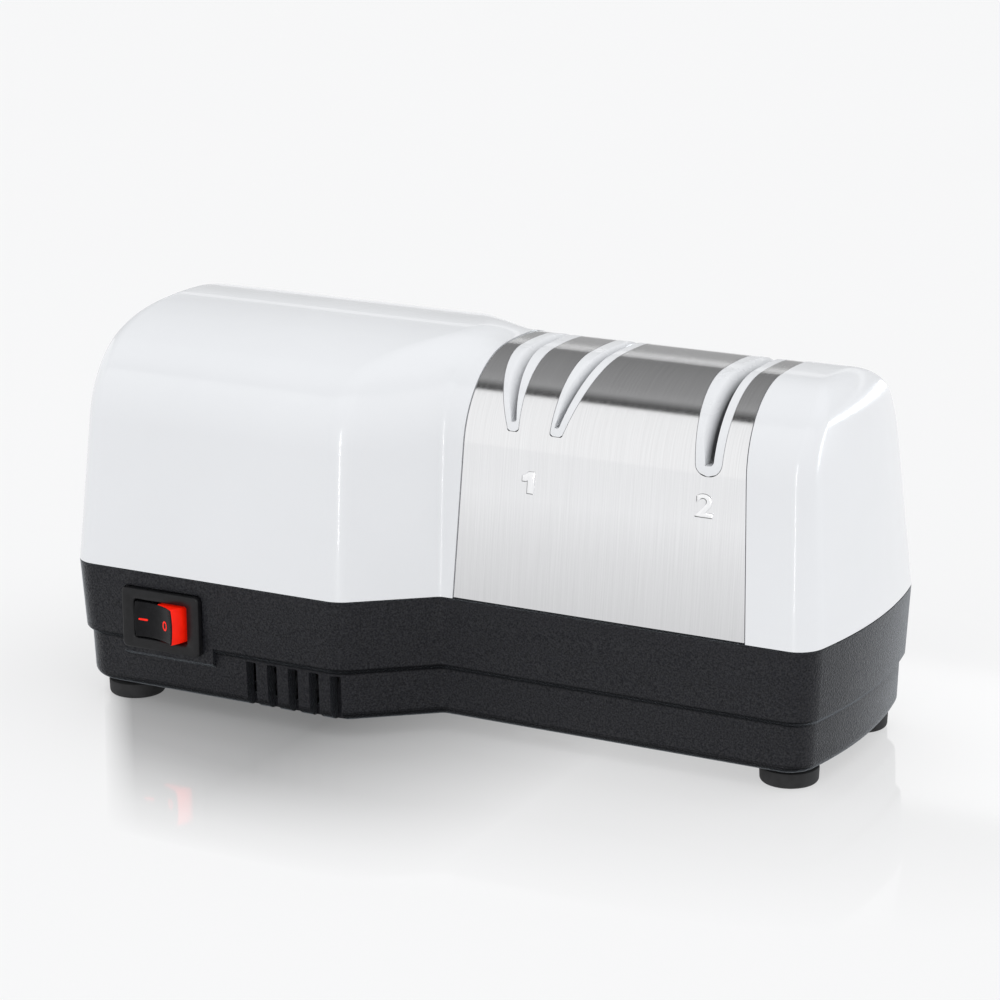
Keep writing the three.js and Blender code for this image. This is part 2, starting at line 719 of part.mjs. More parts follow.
// Slot outlines on the front view, seen as [x, z], drawn in by a clearance
function slotWindow(slot, clearance) {
  const left = (z) => slot.footLeft + clearance + slot.leftLeanShare * (z - slot.foot);
  const right = (z) => slot.footRight - clearance + slot.rightLeanShare * (z - slot.foot);
  const foot = slot.foot + clearance;
  const width = right(foot + slot.footRadius) - left(foot + slot.footRadius);
  const radius = Math.min(slot.footRadius, width * fullestFootShare);
  const bend = (centre, from) => Array.from({ length: roundSteps + 1 }, (_, i) => {
    const angle = from + (i / roundSteps) * Math.PI / 2;
    return [centre + radius * Math.cos(angle), foot + radius + radius * Math.sin(angle)];
  });
  return [
    [left(slotCeiling), slotCeiling],
    ...bend(left(foot + radius) + radius, Math.PI),
    ...bend(right(foot + radius) - radius, Math.PI * 3 / 2),
    [right(slotCeiling), slotCeiling],
  ];
}
const gapRightAt = (slot, z) => slot.gapRight + slot.gapLeanShare * (z - slot.gapFoot);
function gapOutline(slot) {
  const half = slot.gapWidth / 2;
  const foot = Array.from({ length: roundSteps + 1 }, (_, i) => {
    const angle = Math.PI * (1 + i / roundSteps);
    return [slot.gapRight - half + half * Math.cos(angle), slot.gapFoot + half + half * Math.sin(angle)];
  });
  const top = gapRightAt(slot, slotCeiling);
  return [[top - slot.gapWidth, slotCeiling], ...foot, [top, slotCeiling]];
}

// The lead-in beside a blade gap: it runs over the arch, wide at the surface and closing at its depth
function leadIn(slot) {
  const outside = archPoints(-cutOverrun / 2, slot.gapFoot);
  const inside = archPoints(leadDepth, slot.gapFoot);
  const sections = outside.map(([y, z], i) => {
    const [innerY, innerZ] = inside[i];
    const open = slot.lead * smoothStep((z - slot.gapFoot) / leadRise);
    const flare = open * (1 + cutOverrun / 2 / leadDepth);
    const inner = gapRightAt(slot, innerZ);
    const outer = gapRightAt(slot, z);
    const overlap = slot.gapWidth / 2;
    return [
      [outer - slot.gapWidth - flare, y, z], [outer - overlap, y, z],
      [inner - overlap, innerY, innerZ], [inner - slot.gapWidth, innerY, innerZ],
    ];
  });
  return swept(sections);
}

// Base housing: banded shell with a step, a foot fillet, a locating lip, air slots and openings
function baseHousing() {
  const filletRows = filletShares.map((share) => {
    const angle = share * Math.PI / 2;
    return bandRow(baseBottom + bottomFillet * (1 - Math.cos(angle)),
      lowerBandInset + bottomFillet * (1 - Math.sin(angle)));
  });
  const outer = stacked([
    ...filletRows,
    bandRow(stepBottom, stepOuterInset),
    bandRow(stepTop, upperBandDraftInset),
    bandRow(baseTop, upperBandInset(baseTop)),
  ]);
  const inside = stacked([
    bandRow(floorTop, lowerBandInset + baseWall),
    bandRow(stepBottom, stepOuterInset + baseWall),
    bandRow(stepTop, upperBandDraftInset + baseWall),
    bandRow(baseTop + cutOverrun, baseWall),
  ]);
  const lipInset = housingWall + 2 * seatGap;
  const lip = cut(stacked([bandRow(baseTop - lipDepth, lipInset), bandRow(baseTop + lipHeight, lipInset)]),
    [stacked([bandRow(baseTop - lipDepth - cutOverrun, lipInset + lipThickness),
      bandRow(baseTop + lipHeight + cutOverrun, lipInset + lipThickness)])]);
  const padPlane = -motorHalfDepth + switchSeatInset;
  const padBottom = switchHeight - bezelHeight / 2 - padBottomMargin;
  const pad = alongY(roundedBox(switchMiddle - bezelLength / 2 - padOverhang,
    switchMiddle + bezelLength / 2 + padTail, padBottom, padBottom + bezelHeight - padTopMargin,
    bezelCornerRadius), padPlane, -motorHalfDepth + stepOuterInset + baseWall / 2);
  const pillars = Object.values(screwPlaces).map(([x, y]) => alongZ(
    circle(x, y, basePillarRadius, plainSides), floorTop - floorThickness / 2, baseTop - pillarSplitGap));
  const cradlePlaces = [stackStart + cradleInset, stackStart + stackLength - cradleInset];
  const posts = [-cradleSpread, cradleSpread].flatMap((y) => cradlePlaces.map((x) => box(
    x - cradlePostSize / 2, x + cradlePostSize / 2, y - cradlePostSize / 2, y + cradlePostSize / 2,
    floorTop - floorThickness / 2, coreBottom - seatGap)));
  const body = union([cut(outer, [inside]), lip, pad, ...pillars, ...posts]);

  const screwHoles = Object.values(screwPlaces).flatMap(([x, y]) => [
    alongZ(circle(x, y, screwShankRadius + seatGap, smallSides), baseBottom - cutOverrun,
      baseTop + cutOverrun),
    alongZ(circle(x, y, screwHeadRadius + seatGap, plainSides), baseBottom - cutOverrun,
      baseBottom + screwSinkDepth),
  ]);
  const footHoles = Object.values(footPlaces).map(([x, y]) => alongZ(
    circle(x, y, footStemRadius + seatGap, smallSides), baseBottom - cutOverrun, floorTop + cutOverrun));
  const ventDepth = stepOuterInset + baseWall + seatGap;
  const vents = Array.from({ length: ventCount }, (_, i) => {
    const x = ventMiddle + (i - (ventCount - 1) / 2) * ventPitch;
    const [left, right] = [x - ventWidth / 2, x + ventWidth / 2];
    const from = baseBottom - cutOverrun;
    return [box(left, right, -motorHalfDepth, -motorHalfDepth + ventDepth, from, ventTop),
      box(left, right, motorHalfDepth - ventDepth, motorHalfDepth, from, ventTop)];
  }).flat();
  const seatPlane = -motorHalfDepth + switchSeatInset;
  const bezelSeat = alongY(roundedBox(switchMiddle - bezelLength / 2 - seatGap,
    switchMiddle + bezelLength / 2 + seatGap, switchHeight - bezelHeight / 2 - seatGap,
    switchHeight + bezelHeight / 2 + seatGap, bezelCornerRadius + seatGap),
  seatPlane - cutOverrun, seatPlane);
  const switchHole = box(switchMiddle - switchBodyLength / 2 - seatGap,
    switchMiddle + switchBodyLength / 2 + seatGap, seatPlane - cutOverrun,
    seatPlane + baseWall + lipThickness + cutOverrun, switchHeight - switchBodyHeight / 2 - seatGap,
    switchHeight + switchBodyHeight / 2 + seatGap);
  const glandHole = turnedY(rod(motorHalfDepth - baseWall - cutOverrun, motorHalfDepth + cutOverrun,
    glandBodyRadius + seatGap), plainSides, [glandMiddle, 0, glandHeight]);
  const glandSeat = turnedY(rod(motorHalfDepth - glandFlangeThickness - 2 * seatGap,
    motorHalfDepth + cutOverrun, glandFlangeRadius + seatGap), plainSides, [glandMiddle, 0, glandHeight]);
  const coverHole = alongZ(roundedBox(coverMiddle - coverHalfLength + coverLedge,
    coverMiddle + coverHalfLength - coverLedge, -coverHalfDepth + coverLedge, coverHalfDepth - coverLedge,
    coverCornerRadius - coverLedge / 2), baseBottom - cutOverrun, floorTop + cutOverrun);
  const coverSeat = alongZ(roundedBox(coverMiddle - coverHalfLength - seatGap,
    coverMiddle + coverHalfLength + seatGap, -coverHalfDepth - seatGap, coverHalfDepth + seatGap,
    coverCornerRadius + seatGap), baseBottom - cutOverrun, baseBottom + coverThickness + seatGap);
  return cut(body, [...screwHoles, ...footHoles, ...vents, bezelSeat, switchHole, glandHole, glandSeat,
    coverHole, coverSeat]);
}
addPiece('base_housing', baseHousing(), grainedBlack);

// Upper housing: domed shell with the recess of the cover plate, the slot windows and its screw pillars
function plateOutline(clearance) {
  const [bottom, top] = [jointHeight - cutOverrun, narrowCrest + cutOverrun];
  return [
    [plateLeftBottom - clearance, bottom], [plateRightBottom + clearance, bottom],
    [plateRightTop + clearance, top], [plateLeftTop - clearance, top],
  ];
}
const narrowThrough = [-narrowHalfDepth - cutOverrun, narrowHalfDepth + cutOverrun];

function upperHousing() {
  const shell = cut(domed(0, housingLevelShares, housingFoot),
    [domed(housingWall, cavityLevelShares, jointHeight - cutOverrun)]);
  const pillars = Object.values(screwPlaces).flatMap(([x, y]) => {
    const side = Math.sign(y);
    const wall = x < shoulderStart
      ? motorHalfDepth - motorCrown.insetAt(upperPillarTop) - housingWall / 2
      : narrowHalfDepth - narrowCrown.insetAt(upperPillarTop) - (recessDepth + housingWall) / 2;
    const webBottom = (jointHeight + upperPillarTop) / 2;
    const [near, far] = [Math.min(y, side * wall), Math.max(y, side * wall)];
    return [
      alongZ(circle(x, y, pillarRadius, plainSides), jointHeight + pillarSplitGap, upperPillarTop),
      box(x - pillarWebThickness / 2, x + pillarWebThickness / 2, near, far, webBottom, upperPillarTop),
    ];
  });
  const pillarHoles = Object.values(screwPlaces).map(([x, y]) => alongZ(
    circle(x, y, screwShankRadius + seatGap, smallSides), jointHeight - cutOverrun,
    baseBottom + screwSinkDepth - screwHeadHeight + screwLength + 2 * seatGap));
  const recess = archBand(-cutOverrun, recessDepth, jointHeight - cutOverrun, plateLeftBottom - cutOverrun,
    plateRightBottom + cutOverrun).intersect(alongY(plateOutline(seatGap), ...narrowThrough));
  const windows = Object.values(slots).map((slot) => alongY(slotWindow(slot, 0), ...narrowThrough));
  return cut(union([shell, ...pillars]), [...pillarHoles, recess, ...windows]);
}
addPiece('upper_housing', upperHousing(), glossWhite);

const coverPlate = cut(
  archBand(plateSink, plateSink + plateThickness, plateFoot, plateLeftBottom, plateRightBottom)
    .intersect(alongY(plateOutline(0), ...narrowThrough)),
  Object.values(slots).map((slot) => alongY(slotWindow(slot, 0), ...narrowThrough)),
);
addPiece('steel_cover_plate', coverPlate, brushedSteel);

Object.entries(slots).forEach(([name, slot]) => {
  const span = [slot.footLeft - guideDepth, slot.footRight + guideDepth];
  const arch = archBand(plateSink, guideDepth, slot.foot + seatGap, ...span);
  const body = arch.intersect(alongY(slotWindow(slot, seatGap), ...narrowThrough));
  addPiece(name, cut(body, [alongY(gapOutline(slot), ...narrowThrough), leadIn(slot)]), guideWhite);
});

// Rocker switch: a framed snap-in body and a rocker that tilts about an upright axis
const bezelBack = -motorHalfDepth + switchSeatInset - seatGap;
const bezelFront = bezelBack - bezelProud;
function switchFrame() {
  const outline = (grow) => roundedBox(switchMiddle - bezelLength / 2 - grow,
    switchMiddle + bezelLength / 2 + grow, switchHeight - bezelHeight / 2 - grow,
    switchHeight + bezelHeight / 2 + grow, bezelCornerRadius + grow);
  const ring = (grow, y) => outline(grow).map(([x, z]) => [x, y, z]);
  const rim = alongY(outline(0), bezelFront + bezelChamfer, bezelBack);
  const bevel = swept([ring(-bezelChamfer, bezelFront), ring(0, bezelFront + bezelChamfer)]);
  const body = alongY(roundedBox(switchMiddle - switchBodyLength / 2, switchMiddle + switchBodyLength / 2,
    switchHeight - switchBodyHeight / 2, switchHeight + switchBodyHeight / 2, bezelChamfer),
  bezelBack - bezelChamfer, bezelBack + switchBodyDepth);
  const terminals = [-1, 1].map((side) => box(
    switchMiddle + side * terminalSpacing / 2 - terminalThickness / 2,
    switchMiddle + side * terminalSpacing / 2 + terminalThickness / 2,
    bezelBack + switchBodyDepth - bezelChamfer, bezelBack + switchBodyDepth + terminalLength,
    switchHeight - terminalWidth / 2, switchHeight + terminalWidth / 2));
  const pocket = alongY(roundedBox(switchMiddle - switchPocketLength / 2,
    switchMiddle + switchPocketLength / 2, switchHeight - switchPocketHeight / 2,
    switchHeight + switchPocketHeight / 2, bezelChamfer),
  bezelFront - cutOverrun, bezelFront + switchPocketDepth);
  return cut(union([rim, bevel, body, ...terminals]), [pocket]);
}
const rockerHalfThrow = radians(rockerThrowAngle / 2);
const pivotY = bezelFront - rockerFaceProud + rockerPivotDepth * Math.cos(rockerHalfThrow);
const pinHole = turnedZ(rod(-switchPocketHeight / 2 - rockerPinReach - seatGap,
  switchPocketHeight / 2 + rockerPinReach + seatGap, rockerPinRadius + seatGap), smallSides,
[switchMiddle, pivotY, switchHeight]);
addPiece('switch_frame', cut(switchFrame(), [pinHole]), switchBlack);

function switchRocker() {
  const faceEnd = rockerPivotDepth + rockerHalfLength * Math.tan(rockerHalfThrow);
  const root = rockerPivotDepth - rockerRootDepth;
  const flank = rockerPivotDepth - rockerFlankDepth;
  const dish = (share) => [rockerHalfLength * share,
    rockerPivotDepth + rockerHalfLength * Math.tan(rockerHalfThrow) * share ** 2];
  const half = [...rockerDishShares.map(dish), [rockerHalfLength, faceEnd],
    [rockerFlankLength, flank], [rockerFlankLength, root]];
  const profile = [...half, ...half.map(([u, v]) => [-u, v]).reverse()];
  const turnedProfile = profile.map(([u, v]) => [
    switchMiddle + u * Math.cos(rockerHalfThrow) - v * Math.sin(rockerHalfThrow),
    pivotY - u * Math.sin(rockerHalfThrow) - v * Math.cos(rockerHalfThrow),
  ]);
  const halfHeight = switchPocketHeight / 2 - rockerSideGap;
  const pin = turnedZ(rod(-switchPocketHeight / 2 - rockerPinReach, switchPocketHeight / 2 + rockerPinReach,
    rockerPinRadius), smallSides, [switchMiddle, pivotY, switchHeight]);
  return alongZ(turnedProfile, switchHeight - halfHeight, switchHeight + halfHeight).add(pin);
}
addPiece('switch_rocker', switchRocker(), switchBlack);

// Gland of the mains lead: a flanged bush in the back wall
const glandInner = motorHalfDepth - glandBodyLength;
const glandShoulder = motorHalfDepth - glandFlangeThickness - seatGap;
const glandFace = motorHalfDepth - seatGap;
const glandProfile = [
  [glandInner, glandBoreRadius], [glandInner, glandRimRadius], [glandShoulder, glandBodyRadius],
  [glandShoulder, glandFlangeRadius], [glandFace - seatGap, glandFlangeRadius],
  [glandFace, glandFlangeRadius - seatGap], [glandFace, glandRimRadius],
  [glandFace - seatGap, glandBoreRadius], [glandInner, glandBoreRadius],
];
addPiece('cord_gland', turnedY(glandProfile, plainSides, [glandMiddle, 0, glandHeight]), glandBlack);

// Rubber feet: a disc with a rounded tread and a barbed stem pushed through the floor
const footTop = baseBottom - seatGap;
const barbFoot = floorTop + seatGap;
const footProfile = [
  [0, 0], [0, footRadius - 2 * footEdge], [footEdge / 3, footRadius - footEdge],
  [footEdge, footRadius - footEdge / 3],
  [footTop, footRadius], [footTop, footStemRadius], [barbFoot, footStemRadius], [barbFoot, footHeadRadius],
  [barbFoot + footHeadHeight, footStemRadius], [barbFoot + footHeadHeight, 0],
];
Object.entries(footPlaces).forEach(([name, [x, y]]) => {
  addPiece(name, turnedZ(footProfile, plainSides, [x, y, 0]), rubberBlack);
});

// Housing screws, from below
const headFoot = baseBottom + screwSinkDepth - screwHeadHeight - seatGap;
const screwProfile = [
  [headFoot, 0], [headFoot, screwHeadRadius * screwCrownShare],
  [headFoot + screwHeadHeight / 3, screwHeadRadius],
  [headFoot + screwHeadHeight, screwHeadRadius], [headFoot + screwHeadHeight, screwShankRadius],
  [headFoot + screwLength - screwShankRadius, screwShankRadius], [headFoot + screwLength, 0],
];
Object.entries(screwPlaces).forEach(([name, [x, y]]) => {
  const reach = screwHeadRadius * driveReachShare;
  const slot = (halfX, halfY) => box(x - halfX, x + halfX, y - halfY, y + halfY,
    headFoot - cutOverrun, headFoot + driveSlotDepth);
  const cross = slot(reach, driveSlotWidth / 2).add(slot(driveSlotWidth / 2, reach));
  addPiece(name, turnedZ(screwProfile, smallSides, [x, y, 0]).subtract(cross), zincScrew);
});

// Swarf cover: a snap-in lid flush with the floor, with a finger dip, and the magnet that it carries
function swarfCover() {
  const foot = baseBottom;
  const lid = alongZ(roundedBox(coverMiddle - coverHalfLength, coverMiddle + coverHalfLength,
    -coverHalfDepth, coverHalfDepth, coverCornerRadius), foot, foot + coverThickness);
  const reach = coverLedge + seatGap;
  const plug = (inset, from, to) => alongZ(roundedBox(coverMiddle - coverHalfLength + inset,
    coverMiddle + coverHalfLength - inset, -coverHalfDepth + inset, coverHalfDepth - inset,
    coverCornerRadius - coverLedge / 2), from, to);
  const tray = cut(plug(reach, foot + coverThickness / 2, foot + coverThickness + coverPlugHeight),
    [plug(reach + coverThickness, foot + coverThickness, foot + coverPlugHeight + cutOverrun)]);
  const dip = box(coverMiddle - coverFingerHalfWidth, coverMiddle + coverFingerHalfWidth,
    -coverHalfDepth - cutOverrun, -coverHalfDepth + coverFingerReach,
    foot - cutOverrun, foot + coverFingerDepth);
  return lid.add(tray).subtract(dip);
}
addPiece('swarf_cover', swarfCover(), grainedBlack);

const magnetFoot = baseBottom + coverThickness + seatGap;
const magnetRing = (inset, z) => roundedBox(coverMiddle - magnetHalfLength + inset,
  coverMiddle + magnetHalfLength - inset, -magnetHalfDepth + inset, magnetHalfDepth - inset,
  magnetChamfer * 2).map(([x, y]) => [x, y, z]);
const magnetTop = magnetFoot + magnetThickness;
addPiece('swarf_magnet', swept([
  magnetRing(magnetChamfer, magnetFoot), magnetRing(0, magnetFoot + magnetChamfer),
  magnetRing(0, magnetTop - magnetChamfer), magnetRing(magnetChamfer, magnetTop),
]), magnetGrey);

// Motor: laminated core with its coil on the lower leg, rotor in the bore, and two brackets with bushes
const stackEnd = stackStart + stackLength;
function statorCore() {
  const block = alongX(roundedBox(-coreHalfWidth, coreHalfWidth, coreBottom, coreTop, coreCornerRadius),
    stackStart, stackEnd);
  const window = alongX(roundedBox(-windowHalfWidth, windowHalfWidth, windowBottom, windowTop,
    coreCornerRadius / 4), stackStart - cutOverrun, stackEnd + cutOverrun);
  const bore = alongX(circle(0, shaftHeight, rotorRadius + airGap, fineSides), stackStart - cutOverrun,
    stackEnd + cutOverrun);
  return cut(block, [window, bore]);
}
addPiece('stator_core', statorCore(), laminatedIron);

const bobbinHole = {
  x: [stackStart - seatGap, stackEnd + seatGap],
  z: [coreBottom - seatGap, windowBottom + seatGap],
};
function bobbinRing(reach, from, to) {
  const { x, z } = bobbinHole;
  return alongY(roundedBox(x[0] - reach, x[1] + reach, z[0] - reach, z[1] + reach,
    Math.min(coilCornerRadius, reach)), from, to);
}
const bobbinBore = alongY(roundedBox(...bobbinHole.x, ...bobbinHole.z, seatGap),
  -bobbinHalfLength - cutOverrun, bobbinHalfLength + cutOverrun);
const bobbinFlanges = [-1, 1].map((side) => {
  const ends = [side * bobbinHalfLength, side * (bobbinHalfLength - bobbinFlange)].sort((a, b) => a - b);
  return bobbinRing(bobbinWall + bobbinFlangeReach, ...ends);
});
const bobbinTube = bobbinRing(bobbinWall, -bobbinHalfLength, bobbinHalfLength);
addPiece('coil_bobbin', cut(union([bobbinTube, ...bobbinFlanges]), [bobbinBore]), bobbinWhite);
const coilHalfLength = bobbinHalfLength - bobbinFlange - seatGap;
const coilBore = bobbinRing(bobbinWall + seatGap, -coilHalfLength - cutOverrun,
  coilHalfLength + cutOverrun);
addPiece('stator_coil', bobbinRing(bobbinWall + coilReach, -coilHalfLength, coilHalfLength)
  .subtract(coilBore), copperWire);

function motorBracket(side) {
  const face = side < 0 ? stackStart - seatGap : stackEnd + seatGap;
  const inner = face + side * bracketStandOff;
  const outer = inner + side * bracketThickness;
  const span = (a, b) => [Math.min(a, b), Math.max(a, b)];
  const [bottom, top] = [shaftHeight - bracketHeight / 2, shaftHeight + bracketHeight / 2];
  const plate = box(...span(inner, outer), -coreHalfWidth, coreHalfWidth, bottom, top);
  const legs = [-1, 1].map((hand) => box(...span(face, outer),
    ...span(hand * coreHalfWidth, hand * (coreHalfWidth - bracketLegWidth)), bottom, top));
  const bushMiddle = (inner + outer) / 2;
  const bushBody = turnedX(sleeve(-bushLength / 2, bushLength / 2, shaftRadius + seatGap, bushRadius),
    plainSides, [bushMiddle, 0, shaftHeight]);
  const hole = alongX(circle(0, shaftHeight, bushRadius + seatGap, plainSides),
    bushMiddle - bracketThickness, bushMiddle + bracketThickness);
  return { strap: union([plate, ...legs]).subtract(hole), bush: bushBody };
}
[['motor_end', -1], ['drive_end', 1]].forEach(([name, side]) => {
  const { strap, bush } = motorBracket(side);
  addPiece(`${name}_bracket`, strap, zincedSteel);
  addPiece(`${name}_bush`, bush, sinteredBronze);
});

const diskPinOffset = diskHubEnd - diskPinSlotDepth + diskPinRadius + seatGap;
const diskPinPlaces = [-1, 1].map((side) => diskMiddle + side * diskPinOffset);
const pinBores = diskPinPlaces.map((x) => turnedY(rod(-shaftRadius - cutOverrun, shaftRadius + cutOverrun,
  diskPinRadius + seatGap), smallSides, [x, 0, shaftHeight]));
const plainShaft = turnedX(chamferedRod(shaftStart, shaftEnd, shaftRadius, shaftChamfer), plainSides,
  [0, 0, shaftHeight]);
addPiece('motor_shaft', cut(plainShaft, pinBores), groundSteel);

function rotorCore() {
  const bore = shaftRadius + seatGap;
  const core = turnedX([
    [stackStart, rotorRingInner], [stackStart, rotorRadius], [stackEnd, rotorRadius],
    [stackEnd, rotorRingInner], [stackEnd, bore], [stackStart, bore], [stackStart, rotorRingInner],
  ], fineSides, [0, 0, shaftHeight]);
  const ring = (from) => turnedX(sleeve(from, from + rotorRingThickness, rotorRingInner,
    rotorRadius - airGap), fineSides, [0, 0, shaftHeight]);
  return union([core, ring(stackStart - rotorRingThickness), ring(stackEnd)]);
}
addPiece('motor_rotor', rotorCore(), castAluminium);

function coolingFan() {
  const hub = turnedX(sleeve(fanStart, fanStart + fanDepth, shaftRadius + seatGap, fanHubRadius),
    plainSides, [0, 0, shaftHeight]);
  const disc = turnedX(sleeve(fanStart + fanDepth - fanDiscThickness, fanStart + fanDepth,
    shaftRadius + seatGap, fanRadius), fineSides, [0, 0, shaftHeight]);
  const blades = Array.from({ length: fanBladeCount }, (_, i) => {
    const turn = 2 * Math.PI * i / fanBladeCount;
    const edge = (offset) => Array.from({ length: bladeSteps + 1 }, (_item, k) => {
      const share = k / bladeSteps;
      const r = fanBladeInner + (fanRadius - fanBladeInner) * share;
      const angle = turn + radians(fanBladeAngle) * share ** 2;
      return [r * Math.cos(angle) - offset * Math.sin(angle), shaftHeight + r * Math.sin(angle)
        + offset * Math.cos(angle)];
    });
    return alongX([...edge(-fanBladeThickness / 2), ...edge(fanBladeThickness / 2).reverse()], fanStart,
      fanStart + fanDepth - fanDiscThickness / 2);
  });
  return union([hub, disc, ...blades]);
}
addPiece('cooling_fan', coolingFan(), fanGrey);

// Stage 1: two cones that look outward, held against cross pins by the spring between them
function abrasiveDisk(side) {
  const bore = shaftRadius + seatGap;
  const profile = [
    [diskSpringPocket, bore], [diskSpringPocket, diskSpringPocketRadius],
    [diskBackOffset, diskSpringPocketRadius], [diskFaceOffset - diskRimThickness, diskRadius],
    [diskFaceOffset, diskRadius],
    [diskFaceOffset + diskConeRise, diskConeInner], [diskFaceOffset + diskConeRise, diskHubRadius],
    [diskHubEnd, diskHubRadius], [diskHubEnd, bore], [diskSpringPocket, bore],
  ].map(([along, r]) => [side * along, r]);
  const pinSlot = box(...[diskMiddle + side * (diskHubEnd - diskPinSlotDepth),
    diskMiddle + side * (diskHubEnd + cutOverrun)].sort((a, b) => a - b), -diskHubRadius - cutOverrun,
  diskHubRadius + cutOverrun,
  shaftHeight - diskPinRadius - seatGap, shaftHeight + diskPinRadius + seatGap);
  return turnedX(profile, fineSides, [diskMiddle, 0, shaftHeight]).subtract(pinSlot);
}
addPiece('stage_1_disk_left', abrasiveDisk(-1), abrasiveGrey);
addPiece('stage_1_disk_right', abrasiveDisk(1), abrasiveGrey);
[['stage_1_pin_left', 0], ['stage_1_pin_right', 1]].forEach(([name, i]) => {
  addPiece(name, turnedY(rod(-diskPinHalfLength, diskPinHalfLength, diskPinRadius), smallSides,
    [diskPinPlaces[i], 0, shaftHeight]), groundSteel);
});

function diskSpring() {
  const reach = diskSpringPocket - seatGap - springWireRadius;
  const steps = springTurns * springStepsPerTurn;
  const centre = (i) => {
    const angle = 2 * Math.PI * i / springStepsPerTurn;
    const along = -reach + 2 * reach * i / steps;
    return new THREE.Vector3(diskMiddle + along, springMeanRadius * Math.cos(angle),
      shaftHeight + springMeanRadius * Math.sin(angle));
  };
  const middles = Array.from({ length: steps + 1 }, (_, i) => centre(i));
  const sections = middles.map((point, i) => {
    const heading = centre(i + 1).sub(centre(i - 1)).normalize();
    const outward = point.clone().sub(new THREE.Vector3(point.x, 0, shaftHeight)).normalize();
    const across = heading.clone().cross(outward).normalize();
    return Array.from({ length: springWireSides }, (_item, k) => {
      const angle = 2 * Math.PI * k / springWireSides;
      return point.clone().addScaledVector(outward, springWireRadius * Math.cos(angle))
        .addScaledVector(across, springWireRadius * Math.sin(angle)).toArray();
    });
  });
  let nearest = Infinity;
  middles.forEach((point, i) => middles.slice(i + springStepsPerTurn / 2).forEach((other) => {
    nearest = Math.min(nearest, point.distanceTo(other) - 2 * springWireRadius);
  }));
  console.log(`disk spring: least gap between its curls ${nearest.toFixed(2)} mm`);
  return swept(sections);
}
addPiece('stage_1_spring', diskSpring(), springSteel);

// A post that stands on the floor and holds an axle: wide at its foot, round at its top
function postOutline(footZ, axleZ, topRadius, halfWidth) {
  const cap = Array.from({ length: 2 * roundSteps + 1 }, (_, i) => {
    const angle = Math.PI * i / (2 * roundSteps);
    return [topRadius * Math.cos(angle), axleZ + topRadius * Math.sin(angle)];
  });
  return [[-halfWidth, footZ], [halfWidth, footZ], ...cap];
}
const postFoot = floorTop + seatGap;

function shaftEndPost() {
  const [from, to] = [endPostMiddle - endPostThickness / 2, endPostMiddle + endPostThickness / 2];
  const upright = alongX(postOutline(postFoot, shaftHeight, endPostTopRadius, endPostHalfWidth), from, to);
  const foot = alongZ(roundedBox(endPostMiddle - postFootLength / 2 + endPostThickness,
    endPostMiddle + postFootLength / 2 + endPostThickness, -endPostHalfWidth - endPostThickness,
    endPostHalfWidth + endPostThickness, endPostThickness / 2), postFoot, postFoot + postFootThickness);
  const hole = alongX(circle(0, shaftHeight, bushRadius + seatGap, plainSides), from - cutOverrun,
    to + cutOverrun);
  return upright.add(foot).subtract(hole);
}
addPiece('shaft_end_post', shaftEndPost(), frameGrey);
const endBush = sleeve(-bushLength / 2, bushLength / 2, shaftRadius + seatGap, bushRadius);
addPiece('shaft_end_bush', turnedX(endBush, plainSides, [endPostMiddle, 0, shaftHeight]), sinteredBronze);

// Stage 2: bracket with two uprights, the axle and the pair of small cones that form a notch for the edge
const wheelStack = finishWheelGap + finishWheelThickness;
function finishBracket() {
  const inner = wheelStack + bracketInnerGap;
  const outer = inner + uprightThickness;
  const uprights = [-1, 1].map((side) => alongX(
    postOutline(postFoot, finishAxleHeight, uprightTopRadius, uprightHalfWidth),
    ...[finishMiddle + side * inner, finishMiddle + side * outer].sort((a, b) => a - b)));
  const foot = alongZ(roundedBox(finishMiddle - outer, finishMiddle + outer, -bracketFootHalfWidth,
    bracketFootHalfWidth, uprightThickness), postFoot, postFoot + postFootThickness);
  const hole = alongX(circle(0, finishAxleHeight, finishAxleRadius + seatGap, plainSides),
    finishMiddle - outer - cutOverrun, finishMiddle + outer + cutOverrun);
  return union([foot, ...uprights]).subtract(hole);
}
addPiece('stage_2_bracket', finishBracket(), frameGrey);

const finishAxleHalf = wheelStack + bracketInnerGap + uprightThickness + 2 * seatGap;
addPiece('stage_2_axle', turnedX(chamferedRod(-finishAxleHalf, finishAxleHalf, finishAxleRadius, seatGap),
  plainSides, [finishMiddle, 0, finishAxleHeight]), groundSteel);
[['stage_2_wheel_left', -1], ['stage_2_wheel_right', 1]].forEach(([name, side]) => {
  const bore = finishAxleRadius + seatGap;
  const profile = [
    [finishWheelGap, bore], [finishWheelGap, finishVeeRadius],
    [finishWheelGap + finishVeeDepth, finishWheelRadius], [wheelStack, finishWheelRadius],
    [wheelStack, bore], [finishWheelGap, bore],
  ].map(([along, r]) => [side * along, r]);
  addPiece(name, turnedX(profile, fineSides, [finishMiddle, 0, finishAxleHeight]), abrasiveGrey);
});

// The origin lies at the middle of the underside of the whole object
const whole = new THREE.Box3().setFromObject(sharpener);
sharpener.position.y = -(whole.min.y + whole.max.y) / 2;

export default sharpener;
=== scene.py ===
"""Visual model of an electric knife sharpener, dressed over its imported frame.

Sizes are in metres. X runs from the motor end to the finishing end, the user stands at -Y, and Z is up.
"""
import json
import math

import bmesh
import bpy
import numpy as np
from mathutils import Matrix, Vector


